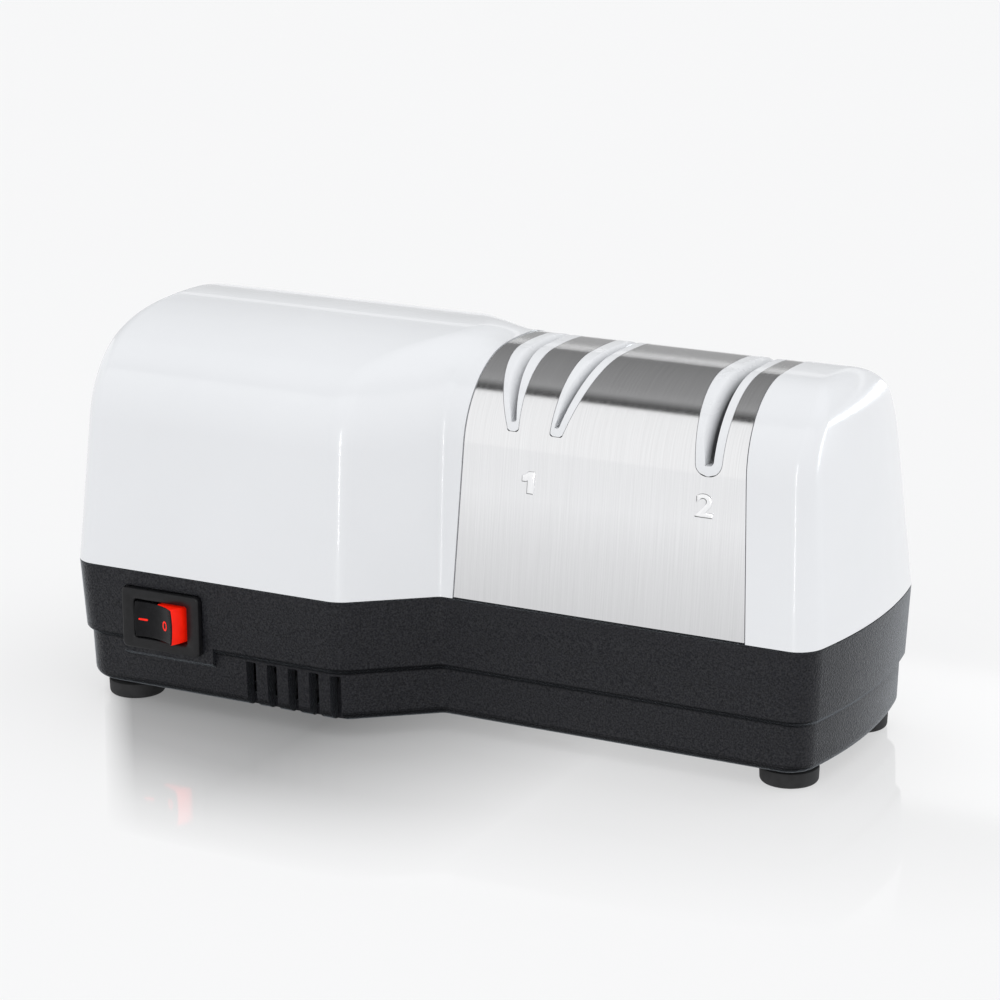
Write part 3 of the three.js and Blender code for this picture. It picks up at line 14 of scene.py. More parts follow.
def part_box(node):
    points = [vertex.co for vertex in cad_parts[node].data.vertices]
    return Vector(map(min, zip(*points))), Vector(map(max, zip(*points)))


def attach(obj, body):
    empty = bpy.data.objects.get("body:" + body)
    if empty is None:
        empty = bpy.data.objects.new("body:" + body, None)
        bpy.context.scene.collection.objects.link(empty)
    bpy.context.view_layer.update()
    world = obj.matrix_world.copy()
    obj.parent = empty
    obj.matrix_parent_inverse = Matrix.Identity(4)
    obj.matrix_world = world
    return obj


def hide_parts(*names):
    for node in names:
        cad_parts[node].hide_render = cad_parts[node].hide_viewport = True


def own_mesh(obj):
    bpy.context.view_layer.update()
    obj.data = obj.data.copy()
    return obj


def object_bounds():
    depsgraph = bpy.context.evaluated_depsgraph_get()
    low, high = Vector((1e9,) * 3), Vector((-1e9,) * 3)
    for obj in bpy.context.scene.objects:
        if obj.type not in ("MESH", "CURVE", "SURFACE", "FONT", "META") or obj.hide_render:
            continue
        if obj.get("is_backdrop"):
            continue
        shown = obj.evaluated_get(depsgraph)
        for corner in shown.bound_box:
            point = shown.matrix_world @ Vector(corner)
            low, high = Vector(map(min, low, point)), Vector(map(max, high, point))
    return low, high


bl_info = {
    "name": "Electric knife sharpener",
    "version": (1, 0, 0),
    "blender": (4, 5, 0),
    "location": "View3D > Sidebar > Sharpener",
    "description": "Builds the housing, cover plate, guides, switch and finishes of a knife sharpener",
    "category": "Object",
}

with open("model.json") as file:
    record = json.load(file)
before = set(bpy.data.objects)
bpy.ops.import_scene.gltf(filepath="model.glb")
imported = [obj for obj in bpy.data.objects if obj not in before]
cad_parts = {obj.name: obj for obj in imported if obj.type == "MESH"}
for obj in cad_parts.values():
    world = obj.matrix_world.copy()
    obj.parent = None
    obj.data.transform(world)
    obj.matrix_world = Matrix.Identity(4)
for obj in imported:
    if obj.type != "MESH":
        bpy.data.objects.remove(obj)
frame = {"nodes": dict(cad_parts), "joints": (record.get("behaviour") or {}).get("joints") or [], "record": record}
cad_low, cad_high = (Vector(corner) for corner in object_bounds())

# The body is symmetric about its own middle plane, which lies behind the origin by the reach of the switch
base_low, base_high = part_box("base_housing")
MIDDLE_Y = (base_low.y + base_high.y) / 2
MM = 0.001
# Cutters through the sharpening end reach over its crest and past both sides
CEILING = 99 * MM
CUT_REACH = 36 * MM
# How far any other cutter starts outside the surface that it cuts
PAST = 3 * MM
# Edges of the large pieces stay sharp from this angle on, in degrees
SHARP = 28


def millimetres(name, value, about):
    """A length property whose default is given in millimetres."""
    return bpy.props.FloatProperty(
        name=name, description=about, default=value * MM, unit="LENGTH", subtype="DISTANCE", precision=5
    )


def degrees(name, value, about):
    """An angle property whose default is given in degrees."""
    return bpy.props.FloatProperty(
        name=name, description=about, default=math.radians(value), unit="ROTATION", subtype="ANGLE"
    )


def colour(name, value, about):
    """A colour property, in linear red, green and blue."""
    return bpy.props.FloatVectorProperty(
        name=name, description=about, default=value, size=3, min=0, max=1, subtype="COLOR"
    )


class SharpenerBody(bpy.types.PropertyGroup):
    """Outline and section of the body"""

    half_length: millimetres("Half length", 100, "Half of the length over both bowed ends")
    motor_half_depth: millimetres("Motor half depth", 49, "Half of the depth over the motor")
    narrow_half_depth: millimetres("Narrow half depth", 33, "Half of the depth over the slots")
    end_bow: millimetres("End bow", 3.96, "How far each end bows out")
    motor_corner: millimetres("Motor corner", 6.4, "Corner radius at the motor end")
    narrow_corner: millimetres("Narrow corner", 5.7, "Corner radius at the finishing end")
    shoulder_start: millimetres("Shoulder start", -19.35, "Where the motor side ends")
    shoulder_end: millimetres("Shoulder end", 0.25, "Where the narrow side begins")
    shoulder_top_start: millimetres("Shoulder top start", -6.5, "Where the crest starts to drop")
    shoulder_top_end: millimetres("Shoulder top end", 4.9, "Where the crest has dropped")
    shoulder_outer: millimetres("Shoulder outer radius", 7.9, "Radius of the outer bend")
    shoulder_inner: millimetres("Shoulder inner radius", 3, "Radius of the inner bend")
    joint_height: millimetres("Joint height", 35.5, "Height of the seam between the white and black halves")
    motor_crest: millimetres("Motor crest", 95.4, "Height of the crest over the motor")
    narrow_crest: millimetres("Narrow crest", 93.6, "Height of the crest over the slots")
    base_bottom: millimetres("Base underside", 4.2, "Height of the underside above the table")
    wall: millimetres("Housing wall", 2.8, "Wall of the white housing")
    base_wall: millimetres("Base wall", 3.4, "Wall of the black base")
    seam: millimetres("Seam", 0.3, "Gap between neighbouring pieces")


class SharpenerSlots(bpy.types.PropertyGroup):
    """Cover plate and its slots"""

    plate_left: millimetres("Plate left", 3.75, "Left edge of the plate at the seam")
    plate_left_top: millimetres("Plate left at crest", 4.74, "Left edge of the plate at the crest")
    plate_right: millimetres("Plate right", 80, "Right edge of the plate at the seam")
    plate_right_top: millimetres("Plate right at crest", 76.35, "Right edge of the plate at the crest")
    plate_sink: millimetres("Plate sink", 0.2, "How far the plate lies under the white surface")
    plate_thickness: millimetres("Plate thickness", 0.8, "Sheet thickness")
    guide_depth: millimetres("Guide depth", 12, "Depth of the white guides")
    lead_depth: millimetres("Lead-in depth", 3.4, "Depth over which a lead-in closes")
    numeral_proud: millimetres("Numeral relief", 0.34, "How far the embossed numerals stand out")


class SharpenerSwitch(bpy.types.PropertyGroup):
    """Rocker switch"""

    middle: millimetres("Middle", -69.5, "Place along the base")
    height: millimetres("Height", 23.65, "Height of its middle")
    bezel_length: millimetres("Frame length", 22.4, "Length of the frame")
    bezel_height: millimetres("Frame height", 15.4, "Height of the frame")
    bezel_proud: millimetres("Frame relief", 1.8, "How far the frame stands out")
    pocket_length: millimetres("Opening length", 15.9, "Length of the opening in the frame")
    pocket_height: millimetres("Opening height", 9.8, "Height of the opening in the frame")
    end_bulge: millimetres("End bulge", 0.45, "How far the ends of the opening and of the rocker bow out")
    face_reach: millimetres("Face reach", 6.55, "Half of the length of the rocker's face")
    flank_reach: millimetres("Flank reach", 7.3, "Half of the length of the rocker's body")
    throw: degrees("Throw", 24, "Angle between its two positions")


class SharpenerColours(bpy.types.PropertyGroup):
    """Colours of the finishes"""

    housing_white: colour("Housing white", (0.80, 0.81, 0.83), "Gloss moulding")
    guide_white: colour("Guide white", (0.79, 0.80, 0.82), "Moulding of the guides")
    base_black: colour("Base black", (0.0085, 0.0088, 0.0115), "Grained moulding")
    steel: colour("Steel", (0.86, 0.862, 0.872), "Brushed cover plate")
    switch_black: colour("Switch black", (0.0075, 0.0075, 0.0085), "Frame and rocker")
    switch_red: colour("Switch red", (1.0, 0.012, 0.002), "Flank and marks of the rocker")
    rubber: colour("Rubber", (0.017, 0.017, 0.018), "Feet")
    floor: colour("Floor", (0.905, 0.905, 0.908), "Table top")


GROUPS = {
    "sharpener_body": SharpenerBody,
    "sharpener_slots": SharpenerSlots,
    "sharpener_switch": SharpenerSwitch,
    "sharpener_colours": SharpenerColours,
}


def sizes():
    """The scene's property groups: body, slots, switch and colours."""
    scene = bpy.context.scene
    return scene.sharpener_body, scene.sharpener_slots, scene.sharpener_switch, scene.sharpener_colours


# Meshes


def mesh_piece(name, points, faces, smooth_angle=35.0):
    """A piece from an array of points and lists of faces, shaded smooth up to an angle between its faces."""
    mesh = bpy.data.meshes.new(name)
    mesh.from_pydata(np.asarray(points, float).tolist(), [], [list(map(int, face)) for face in faces])
    mesh.validate(clean_customdata=False)
    mesh.update()
    piece = placed(name, mesh)
    shade(piece, smooth_angle)
    return piece


def placed(name, data):
    """A new object in the scene for a mesh, curve, lamp or camera."""
    item = bpy.data.objects.new(name, data)
    bpy.context.scene.collection.objects.link(item)
    return item


def read_rows(items, field):
    """A field of three numbers of all points or faces, one row each."""
    values = np.empty(len(items) * 3)
    items.foreach_get(field, values)
    return values.reshape(-1, 3)


def mark(piece, name, domain, values):
    """Writes one number on each point or face of a piece, for its finish to read."""
    attribute = piece.data.attributes.new(name, "FLOAT", domain)
    attribute.data.foreach_set("value", values.astype(np.float32))


def shade(piece, angle):
    """Smooth shading, with an edge kept sharp where its two faces meet at more than the angle, in degrees."""
    piece.data.shade_smooth()
    piece.data.set_sharp_from_angle(angle=math.radians(angle))


def strip(low, high, columns, flip=False):
    """Quads between two closed loops, or pairs of loops, that start at the points numbered low and high."""
    side = np.arange(columns)
    after = (side + 1) % columns
    quads = np.stack([low + side, low + after, high + after, high + side], axis=-1).reshape(-1, 4)
    return quads[:, ::-1] if flip else quads


def tube_faces(rows, columns, first=0, flip=False):
    """Quads of a grid of closed loops: row r, column c joins column c + 1, which wraps round."""
    start = first + columns * np.arange(rows - 1)[:, None]
    return strip(start, start + columns, columns, flip)


def tube(name, loops, smooth_angle=35.0):
    """A closed tube through rows of loops, with flat ends."""
    rows, columns = loops.shape[:2]
    ends = [range(columns), range(rows * columns - 1, (rows - 1) * columns - 1, -1)]
    faces = [*tube_faces(rows, columns), *ends]
    return point_outwards(mesh_piece(name, loops.reshape(-1, 3), faces, smooth_angle))


def mirrored_cap(columns, first, flip=False):
    """Quads across a loop whose second half mirrors its first, and a triangle at each end, which close it flat."""
    half = columns // 2
    near = np.arange(1, half - 1)
    quads = np.stack([near, near + 1, columns - near - 1, columns - near], axis=-1)
    ends = np.array([[0, 1, columns - 1], [half - 1, half, half + 1]])
    return [face + first for faces in (quads, ends) for face in (faces[:, ::-1] if flip else faces)]


def closed_loops(half_x, half_y, half_z):
    """Rows of front half outlines made into full loops by mirroring Y, moved to the body's own middle plane."""
    halves = ((half_x, 1), (half_y, -1), (half_z, 1))
    x, y, z = (np.concatenate([half, side * half[:, -2:0:-1]], axis=1) for half, side in halves)
    return np.stack([x, y + MIDDLE_Y, z], axis=-1)


def lathe(name, profile, node, axis, sides=64):
    """A turned piece: profile rows of (along, radius) spun about the axis Y or Z through a node's middle.

    A point is centre + axis * along + (across * cos t + up * sin t) * radius. A profile that starts and ends
    on the axis is closed by fans there, and one that returns to its start is a ring.
    """
    along, radius = np.array(profile, float).T
    axis = Vector({"Y": (0, 1, 0), "Z": (0, 0, 1)}[axis])
    centre = np.array([0 if lies_along else (low + high) / 2 for lies_along, low, high in zip(axis, *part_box(node))])
    across = axis.orthogonal().normalized()
    up = axis.cross(across)
    turn = np.linspace(0, 2 * np.pi, sides, endpoint=False)
    ring = np.outer(np.cos(turn), across) + np.outer(np.sin(turn), up)
    is_ring = np.allclose(profile[0], profile[-1]) and radius[0] > 0
    body = slice(0, -1) if is_ring else slice(1, -1)
    rows = along[body, None, None] * np.array(axis) + radius[body, None, None] * ring[None]
    count = rows.shape[0]
    points = (centre + rows).reshape(-1, 3)
    faces = list(tube_faces(count, sides))
    last = (count - 1) * sides
    if is_ring:
        faces += list(strip(last, 0, sides))
    else:
        pole = len(points)
        points = np.vstack([points, *(centre + along[end] * np.array(axis) for end in (0, -1))])
        faces += [(pole, (side + 1) % sides, side) for side in range(sides)]
        faces += [(pole + 1, last + side, last + (side + 1) % sides) for side in range(sides)]
    return point_outwards(mesh_piece(name, points, faces))


def point_outwards(piece, weld=0.0):
    """Turns the faces of a closed mesh so that they all look out of it, once points that nearly meet are one."""
    shape = bmesh.new()
    shape.from_mesh(piece.data)
    if weld:
        bmesh.ops.remove_doubles(shape, verts=shape.verts, dist=weld)
        bmesh.ops.dissolve_degenerate(shape, edges=shape.edges, dist=weld)
    bmesh.ops.recalc_face_normals(shape, faces=shape.faces)
    shape.to_mesh(piece.data)
    shape.free()
    return piece


def prism(name, outline, axis, low, high):
    """A closed prism over a flat outline, from low to high along an axis. The outline's columns are the other
    two axes in X, Y, Z order."""
    count = len(outline)
    points = np.insert(np.tile(outline, (2, 1)), "XYZ".index(axis), np.repeat([low, high], count), axis=1)
    faces = [range(count), range(2 * count - 1, count - 1, -1)]
    side = np.arange(count)
    after = (side + 1) % count
    faces += list(np.stack([side, side + count, after + count, after], axis=-1))
    return point_outwards(mesh_piece(name, points, faces))


def box_prism(name, across, up, radius, axis, low, high, steps=8):
    """A prism with rounded corners over a span across and a span up, from low to high along an axis."""
    return prism(name, rounded_rectangle(*across, *up, radius, steps), axis, low, high)


def around(middle, half):
    """The two ends of a span, from its middle and half of its length."""
    return middle - half, middle + half


def bore(node, axis, low, high, radius, sides=64):
    """A plain round cutter about a node's middle, from low to high along an axis."""
    return lathe(f"bore {node}", [(low, 0), (low, radius), (high, radius), (high, 0)], node, axis, sides)


def carve(piece, cutters, operation="DIFFERENCE"):
    """Cuts each cutter from the piece, or joins it on, and leaves a plain mesh. The cutters are removed."""
    for cutter in cutters:
        step = piece.modifiers.new("carve", "BOOLEAN")
        step.operation = operation
        step.solver = "EXACT"
        step.object = cutter
    apply_modifiers(piece)
    for cutter in cutters:
        bpy.data.meshes.remove(cutter.data)
    return point_outwards(piece, 0.001 * MM)


def apply_modifiers(piece):
    """Replaces the piece's mesh by the result of its modifiers."""
    result = bpy.data.meshes.new_from_object(piece.evaluated_get(bpy.context.evaluated_depsgraph_get()))
    old = piece.data
    piece.modifiers.clear()
    piece.data = result
    result.name = old.name
    bpy.data.meshes.remove(old)


def round_edges(piece, width, segments, angle):
    """Rounds each edge that is sharper than the angle, in degrees, and leaves a plain mesh."""
    step = piece.modifiers.new("rounding", "BEVEL")
    step.width = width
    step.segments = segments
    step.limit_method = "ANGLE"
    step.angle_limit = math.radians(angle)
    step.use_clamp_overlap = True
    apply_modifiers(piece)


def rounded_rectangle(left, right, bottom, top, radius, steps=8):
    """Corner by corner, centre + radius * (cos t, sin t) for a quarter turn each."""
    centres = np.array(
        [[right - radius, bottom + radius], [right - radius, top - radius], [left + radius, top - radius],
         [left + radius, bottom + radius]]
    )
    turn = (np.arange(4)[:, None] - 1 + np.linspace(0, 1, steps + 1)[None]) * np.pi / 2
    offset = np.stack([np.cos(turn), np.sin(turn)], axis=-1) * radius
    return (centres[:, None] + offset).reshape(-1, 2)


# Form of the body


def smooth_step(share):
    """3 s^2 - 2 s^3, held between 0 and 1."""
    share = np.clip(share, 0, 1)
    return share * share * (3 - 2 * share)


# Each side's draft in degrees, the radius of its arc in mm, and the slope in degrees of its crown beside the arc
SIDES = {
    "motor": (6.7, 21.9, 20.7),
    "narrow": (7.2, 23.3, 3.2),
    "motor_end": (3.5, 5.5, 0.8),
    "narrow_end": (5.1, 8.9, 1.2),
}
# How far the dome runs in from each end to its crest, in mm
REACHES = {"motor_end": 12.3, "narrow_end": 17.6}
# How much of the inset the shoulder follows at the foot of the dome
SHOULDER_LEAN_SHARE = 0.34


class Crown:
    """One side of the dome: a drafted wall, then an arc, then a parabola that lies level at the spine."""

    def __init__(self, side, to_spine, crest, wall=0.0):
        body = bpy.context.scene.sharpener_body
        draft, radius, slope = SIDES[side]
        self.foot = body.joint_height
        self.crest = crest - wall
        self.to_spine = to_spine
        self.radius = radius * MM - wall
        self.draft, self.slope = math.radians(draft), math.radians(slope)
        self.lean, self.pitch = math.tan(self.draft), math.tan(self.slope)
        span = to_spine + self.foot * self.lean - self.radius * (math.cos(self.draft) - math.sin(self.slope))
        rise = self.radius * (math.sin(self.draft) - math.cos(self.slope))
        self.arc_start = (self.crest + rise - self.pitch * span / 2) / (1 - self.pitch * self.lean / 2)
        self.centre_inset = (self.arc_start - self.foot) * self.lean + self.radius * math.cos(self.draft)
        self.centre_height = self.arc_start - self.radius * math.sin(self.draft)
        self.crown_inset = self.centre_inset - self.radius * math.sin(self.slope)
        self.crown_height = self.centre_height + self.radius * math.cos(self.slope)

    def inset(self, height):
        """How far the wall has moved in at each height."""
        wall = (height - self.foot) * self.lean
        over = np.clip(height - self.centre_height, -self.radius, self.radius)
        arc = self.centre_inset - np.sqrt(self.radius**2 - over**2)
        drop = np.maximum(2 * (self.crest - height) * (self.to_spine - self.crown_inset) / self.pitch, 0)
        crown = self.to_spine - np.sqrt(drop)
        return np.where(height < self.arc_start, wall, np.where(height < self.crown_height, arc, crown))


def cubic(a, b, c, d, steps):
    """Cubic Bezier curves as rows: (1-t)^3 a + 3 (1-t)^2 t b + 3 (1-t) t^2 c + t^3 d, for arrays of end points."""
    t = np.linspace(0, 1, steps + 1)
    weights = np.stack([(1 - t) ** 3, 3 * (1 - t) ** 2 * t, 3 * (1 - t) * t**2, t**3])
    points = np.stack([np.stack(point, axis=-1) for point in (a, b, c, d)])
    return np.einsum("kt,krc->rtc", weights, points)


def straight(a, b, steps):
    """Points from a to b at equal steps, for arrays of end points."""
    t = np.linspace(0, 1, steps + 1)[None, :, None]
    return a[:, None] + (b - a)[:, None] * t


END_STEPS, CORNER_STEPS, SIDE_STEPS, BEND_STEPS, SLANT_STEPS = 12, 18, 20, 14, 12
# The handle of a quarter circle, as a share of its radius
QUARTER_HANDLE = 0.5523
# The most of the slant that one bend of the shoulder takes, and where its handles end, as a share of its reach
BEND_LIMIT, BEND_HANDLE = 0.42, 0.42


def end_curve(tip, side, half_depth, radius, bow):
    """Half of a bowed end and its corner, from the middle of the end: x = tip + side * bow * (y / half depth)^2,
    then a Bezier corner on to the side."""
    flat = half_depth - radius
    y = flat[:, None] * np.linspace(0, 1, END_STEPS + 1)[None]
    edge = np.stack([tip[:, None] + side * bow[:, None] * (y / half_depth[:, None]) ** 2, -y], axis=-1)
    start = edge[:, -1]
    heading = np.stack([side * 2 * bow * flat / half_depth**2, -np.ones_like(flat)], axis=-1)
    heading /= np.linalg.norm(heading, axis=-1, keepdims=True)
    reach = radius + bow * (1 - (flat / half_depth) ** 2) / 2
    handle = QUARTER_HANDLE * radius
    leave = start + heading * handle[:, None]
    corner_x = start[:, 0] + side * reach
    corner = cubic(
        (start[:, 0], start[:, 1]), (leave[:, 0], leave[:, 1]), (corner_x - side * handle, -half_depth),
        (corner_x, -half_depth), CORNER_STEPS,
    )
    return np.concatenate([edge[:, :-1], corner], axis=1)


def front_outline(left, motor, narrow, right, start, end, opened):
    """Front half outlines, one row per level, each side drawn in by its own inset, and where the shoulder lies."""
    body = bpy.context.scene.sharpener_body
    motor_depth = body.motor_half_depth - motor
    narrow_depth = body.narrow_half_depth - narrow
    motor_scale = motor_depth / body.motor_half_depth
    narrow_scale = narrow_depth / body.narrow_half_depth
    left_end = end_curve(
        -body.half_length + left, 1, motor_depth, body.motor_corner * motor_scale, body.end_bow * motor_scale
    )
    right_end = end_curve(
        body.half_length - right, -1, narrow_depth, body.narrow_corner * narrow_scale, body.end_bow * narrow_scale
    )[:, ::-1]
    slant = np.stack([end - start, motor_depth - narrow_depth], axis=-1)
    span = np.linalg.norm(slant, axis=-1)
    turn = np.abs(np.arctan2(slant[:, 1], slant[:, 0]))
    heading = slant / span[:, None]
    outer = np.minimum(body.shoulder_outer * (1 + opened) * np.tan(turn / 2), BEND_LIMIT * span)
    inner = np.minimum(body.shoulder_inner * (1 + 2 * opened) * np.tan(turn / 2), BEND_LIMIT * span)

    def along(x, y, step):
        return x + heading[:, 0] * step, y + heading[:, 1] * step

    outer_bend = cubic(
        (start - outer, -motor_depth), (start - outer * BEND_HANDLE, -motor_depth),
        along(start, -motor_depth, outer * BEND_HANDLE), along(start, -motor_depth, outer), BEND_STEPS,
    )
    inner_bend = cubic(
        along(end, -narrow_depth, -inner), along(end, -narrow_depth, -inner * BEND_HANDLE),
        (end + inner * BEND_HANDLE, -narrow_depth), (end + inner, -narrow_depth), BEND_STEPS,
    )
    points = np.concatenate(
        [
            left_end[:, :-1],
            straight(left_end[:, -1], outer_bend[:, 0], SIDE_STEPS)[:, :-1],
            outer_bend[:, :-1],
            straight(outer_bend[:, -1], inner_bend[:, 0], SLANT_STEPS)[:, :-1],
            inner_bend[:, :-1],
            straight(inner_bend[:, -1], right_end[:, 0], SIDE_STEPS)[:, :-1],
            right_end,
        ],
        axis=1,
    )
    return points, outer_bend[:, :1, 0], inner_bend[:, -1:, 0]


def dome(wall, shares):
    """Loops of the white housing at shares of its height. Each level's outline is drawn in by the crown of each
    side, and its height blends from the motor level to the narrow level across the shoulder."""
    body = bpy.context.scene.sharpener_body
    motor = Crown("motor", body.motor_half_depth - wall, body.motor_crest, wall)
    narrow = Crown("narrow", body.narrow_half_depth - wall, body.narrow_crest, wall)
    left = Crown("motor_end", REACHES["motor_end"] * MM, body.motor_crest, wall)
    right = Crown("narrow_end", REACHES["narrow_end"] * MM, body.narrow_crest, wall)
    foot = body.joint_height
    motor_level = foot + (body.motor_crest - wall - foot) * shares
    narrow_level = foot + (body.narrow_crest - wall - foot) * shares
    motor_inset = motor.inset(motor_level)
    narrow_inset = narrow.inset(narrow_level)
    opened = motor_inset / motor.to_spine
    ease = smooth_step(opened)
    lean = SHOULDER_LEAN_SHARE * (1 - ease)
    shift = wall * shoulder_shift_share()
    points, near, far = front_outline(
        wall + left.inset(motor_level), wall + motor_inset, wall + narrow_inset, wall + right.inset(narrow_level),
        body.shoulder_start - shift - lean * motor_inset + (body.shoulder_top_start - body.shoulder_start) * ease,
        body.shoulder_end - shift - lean * narrow_inset + (body.shoulder_top_end - body.shoulder_end) * ease,
        opened,
    )
    blend = smooth_step((points[..., 0] - near) / (far - near))
    height = motor_level[:, None] + (narrow_level - motor_level)[:, None] * blend
    return closed_loops(points[..., 0], points[..., 1], height)


def shoulder_shift_share():
    """How far the shoulder moves towards the motor end as the outline is drawn in, as a share of the inset."""
    body = bpy.context.scene.sharpener_body
    rise = body.motor_half_depth - body.narrow_half_depth
    return math.tan(math.atan2(rise, body.shoulder_end - body.shoulder_start) / 2)


def bands(rows):
    """Loops at (height, inset) rows, all sides drawn in alike."""
    body = bpy.context.scene.sharpener_body
    height, inset = np.array(rows, float).T
    shift = inset * shoulder_shift_share()
    points, _, _ = front_outline(
        inset, inset, inset, inset, body.shoulder_start - shift, body.shoulder_end - shift, np.zeros_like(inset)
    )
    return closed_loops(points[..., 0], points[..., 1], np.repeat(height[:, None], points.shape[1], axis=1))


def shell(name, outer, inner):
    """A closed shell from outer loops that run away from a rim and inner loops that run back to it. The first
    rows of both lie at the rim, and their last rows are closed flat."""
    columns = outer.shape[1]
    first = outer.shape[0] * columns
    upward = outer[-1, 0, 2] > outer[0, 0, 2]
    faces = [
        *tube_faces(outer.shape[0], columns, flip=not upward),
        *mirrored_cap(columns, first - columns, flip=not upward),
        *tube_faces(inner.shape[0], columns, first, flip=upward),
        *mirrored_cap(columns, first + (inner.shape[0] - 1) * columns, flip=upward),
    ]
    faces += list(strip(0, first, columns, flip=upward))
    points = np.concatenate([outer.reshape(-1, 3), inner.reshape(-1, 3)])
    return point_outwards(mesh_piece(name, points, faces))


# Form of the arch under the cover plate


def arch(offset, foot, arc_steps=56, crown_steps=10, wall_steps=1):
    """Points (y, z) of the narrow section over its crest, drawn in square to its surface by an offset, from a
    foot height up the front and down the back."""
    body = bpy.context.scene.sharpener_body
    crown = Crown("narrow", body.narrow_half_depth, body.narrow_crest)
    radius = crown.radius - offset
    on_wall = foot < crown.arc_start - 0.3 * MM
    first = crown.draft if on_wall else math.asin((foot - crown.centre_height) / radius)
    angle = np.linspace(first, math.pi / 2 - crown.slope, arc_steps + 1)
    arc = np.stack([crown.centre_inset - radius * np.cos(angle), crown.centre_height + radius * np.sin(angle)], -1)
    share = np.linspace(0, 1, crown_steps + 1)[1:]
    inset = crown.crown_inset + (crown.to_spine - crown.crown_inset) * share
    climb = crown.pitch * (crown.to_spine - crown.crown_inset) * (share - share**2 / 2)
    lie = crown.slope * (1 - share)
    top = np.stack([inset + offset * np.sin(lie), crown.crown_height + climb - offset * np.cos(lie)], -1)
    parts = [arc, top]
    if on_wall:
        low = np.array([(foot - crown.foot) * crown.lean + offset / math.cos(crown.draft), foot])
        parts.insert(0, low + (arc[0] - low) * np.linspace(0, 1, wall_steps + 1)[:-1, None])
    front = np.concatenate(parts)
    y = front[:, 0] - crown.to_spine
    return np.concatenate([np.stack([y, front[:, 1]], -1), np.stack([-y[-2::-1], front[-2::-1, 1]], -1)])


def arched(name, outer, inner, foot, left, right, steps=1, wall_steps=1):
    """A closed band over the arch between two offsets. left and right give its ends in X for each height."""
    share = np.linspace(0, 1, steps + 1)

    def rows(offset):
        y, z = arch(offset, foot, wall_steps=wall_steps).T[..., None]
        x = left(z) + (right(z) - left(z)) * share
        return np.stack([x, np.broadcast_to(y + MIDDLE_Y, x.shape), np.broadcast_to(z, x.shape)], -1)

    return tube(name, np.concatenate([rows(outer), rows(inner)[:, ::-1]], axis=1))


# Each guide's foot, edges and corner, then its blade gap and the reach of its lead-in, in mm
SLOTS = {
    "slot_1_left_guide": dict(
        foot=77.3, left=15.65, right=18.5, left_lean=-0.4545, right_lean=-0.075, corner=0.8,
        gap_foot=79.4, gap=17.4, gap_lean=-0.235, gap_width=1.3, lead=2.6,
    ),
    "slot_1_right_guide": dict(
        foot=77.3, left=26.6, right=29.9, left_lean=0.015, right_lean=0.32, corner=0.8,
        gap_foot=79.2, gap=28.9, gap_lean=0.265, gap_width=1.3, lead=2.4,
    ),
    "slot_2_guide": dict(
        foot=72.9, left=65.05, right=71.5, left_lean=-0.15, right_lean=0.0, corner=3.2,
        gap_foot=75.3, gap=69.3, gap_lean=0.0, gap_width=2.2, lead=2.8,
    ),
}
# How far over its foot a lead-in has its full flare, in mm
LEAD_RISE = 9.0


def in_metres(slot):
    """A slot's values in metres, apart from its leans, which are slopes."""
    return {key: value * (1 if key.endswith("lean") else MM) for key, value in slot.items()}


class SlotForm:
    """Edges of a slot as functions of height: straight leaning sides that round off into the foot."""

    def __init__(self, slot, clearance=0.0):
        self.slot = in_metres(slot)
        self.clearance = clearance
        self.foot = self.slot["foot"] + clearance
        level = self.foot + self.slot["corner"]
        wide = self.plain("right", level) - self.plain("left", level)
        self.corner = min(self.slot["corner"], wide * 0.46)

    def plain(self, side, z):
        """The straight side, before it rounds off."""
        away = self.clearance if side == "left" else -self.clearance
        return self.slot[side] + away + self.slot[side + "_lean"] * (z - self.slot["foot"])

    def edge(self, side, z):
        """The side with its corner: x = side at the corner's top, moved in by r - sqrt(r^2 - (distance down)^2)."""
        short = np.clip(self.foot + self.corner - z, 0, self.corner)
        tuck = self.corner - np.sqrt(np.maximum(self.corner**2 - short**2, 0))
        held = np.maximum(z, self.foot + self.corner)
        return self.plain(side, held) + (tuck if side == "left" else -tuck)

    def left(self, z):
        return self.edge("left", z)

    def right(self, z):
        return self.edge("right", z)

    def outline(self):
        """The window's outline on the front view, as (x, z) points."""
        z = self.foot + self.corner * (1 - np.cos(np.linspace(0, np.pi / 2, 14)))
        z = np.append(z, CEILING)
        return np.concatenate([np.stack([self.left(z)[::-1], z[::-1]], -1), np.stack([self.right(z), z], -1)])


def through_cut(name, outline):
    """A cutter through both sides of the sharpening end."""
    return prism(name, outline, "Y", MIDDLE_Y - CUT_REACH, MIDDLE_Y + CUT_REACH)


def gap_cutter(name, slot):
    """The blade gap: a straight cut through both sides with leaning edges and a round foot."""
    form = in_metres(slot)
    half = form["gap_width"] / 2
    turn = np.linspace(np.pi, 2 * np.pi, 15)
    foot = np.stack([form["gap"] - half + half * np.cos(turn), form["gap_foot"] + half + half * np.sin(turn)], -1)
    top = form["gap"] + form["gap_lean"] * (CEILING - form["gap_foot"])
    return through_cut(name, np.concatenate([[[top - 2 * half, CEILING]], foot, [[top, CEILING]]]))


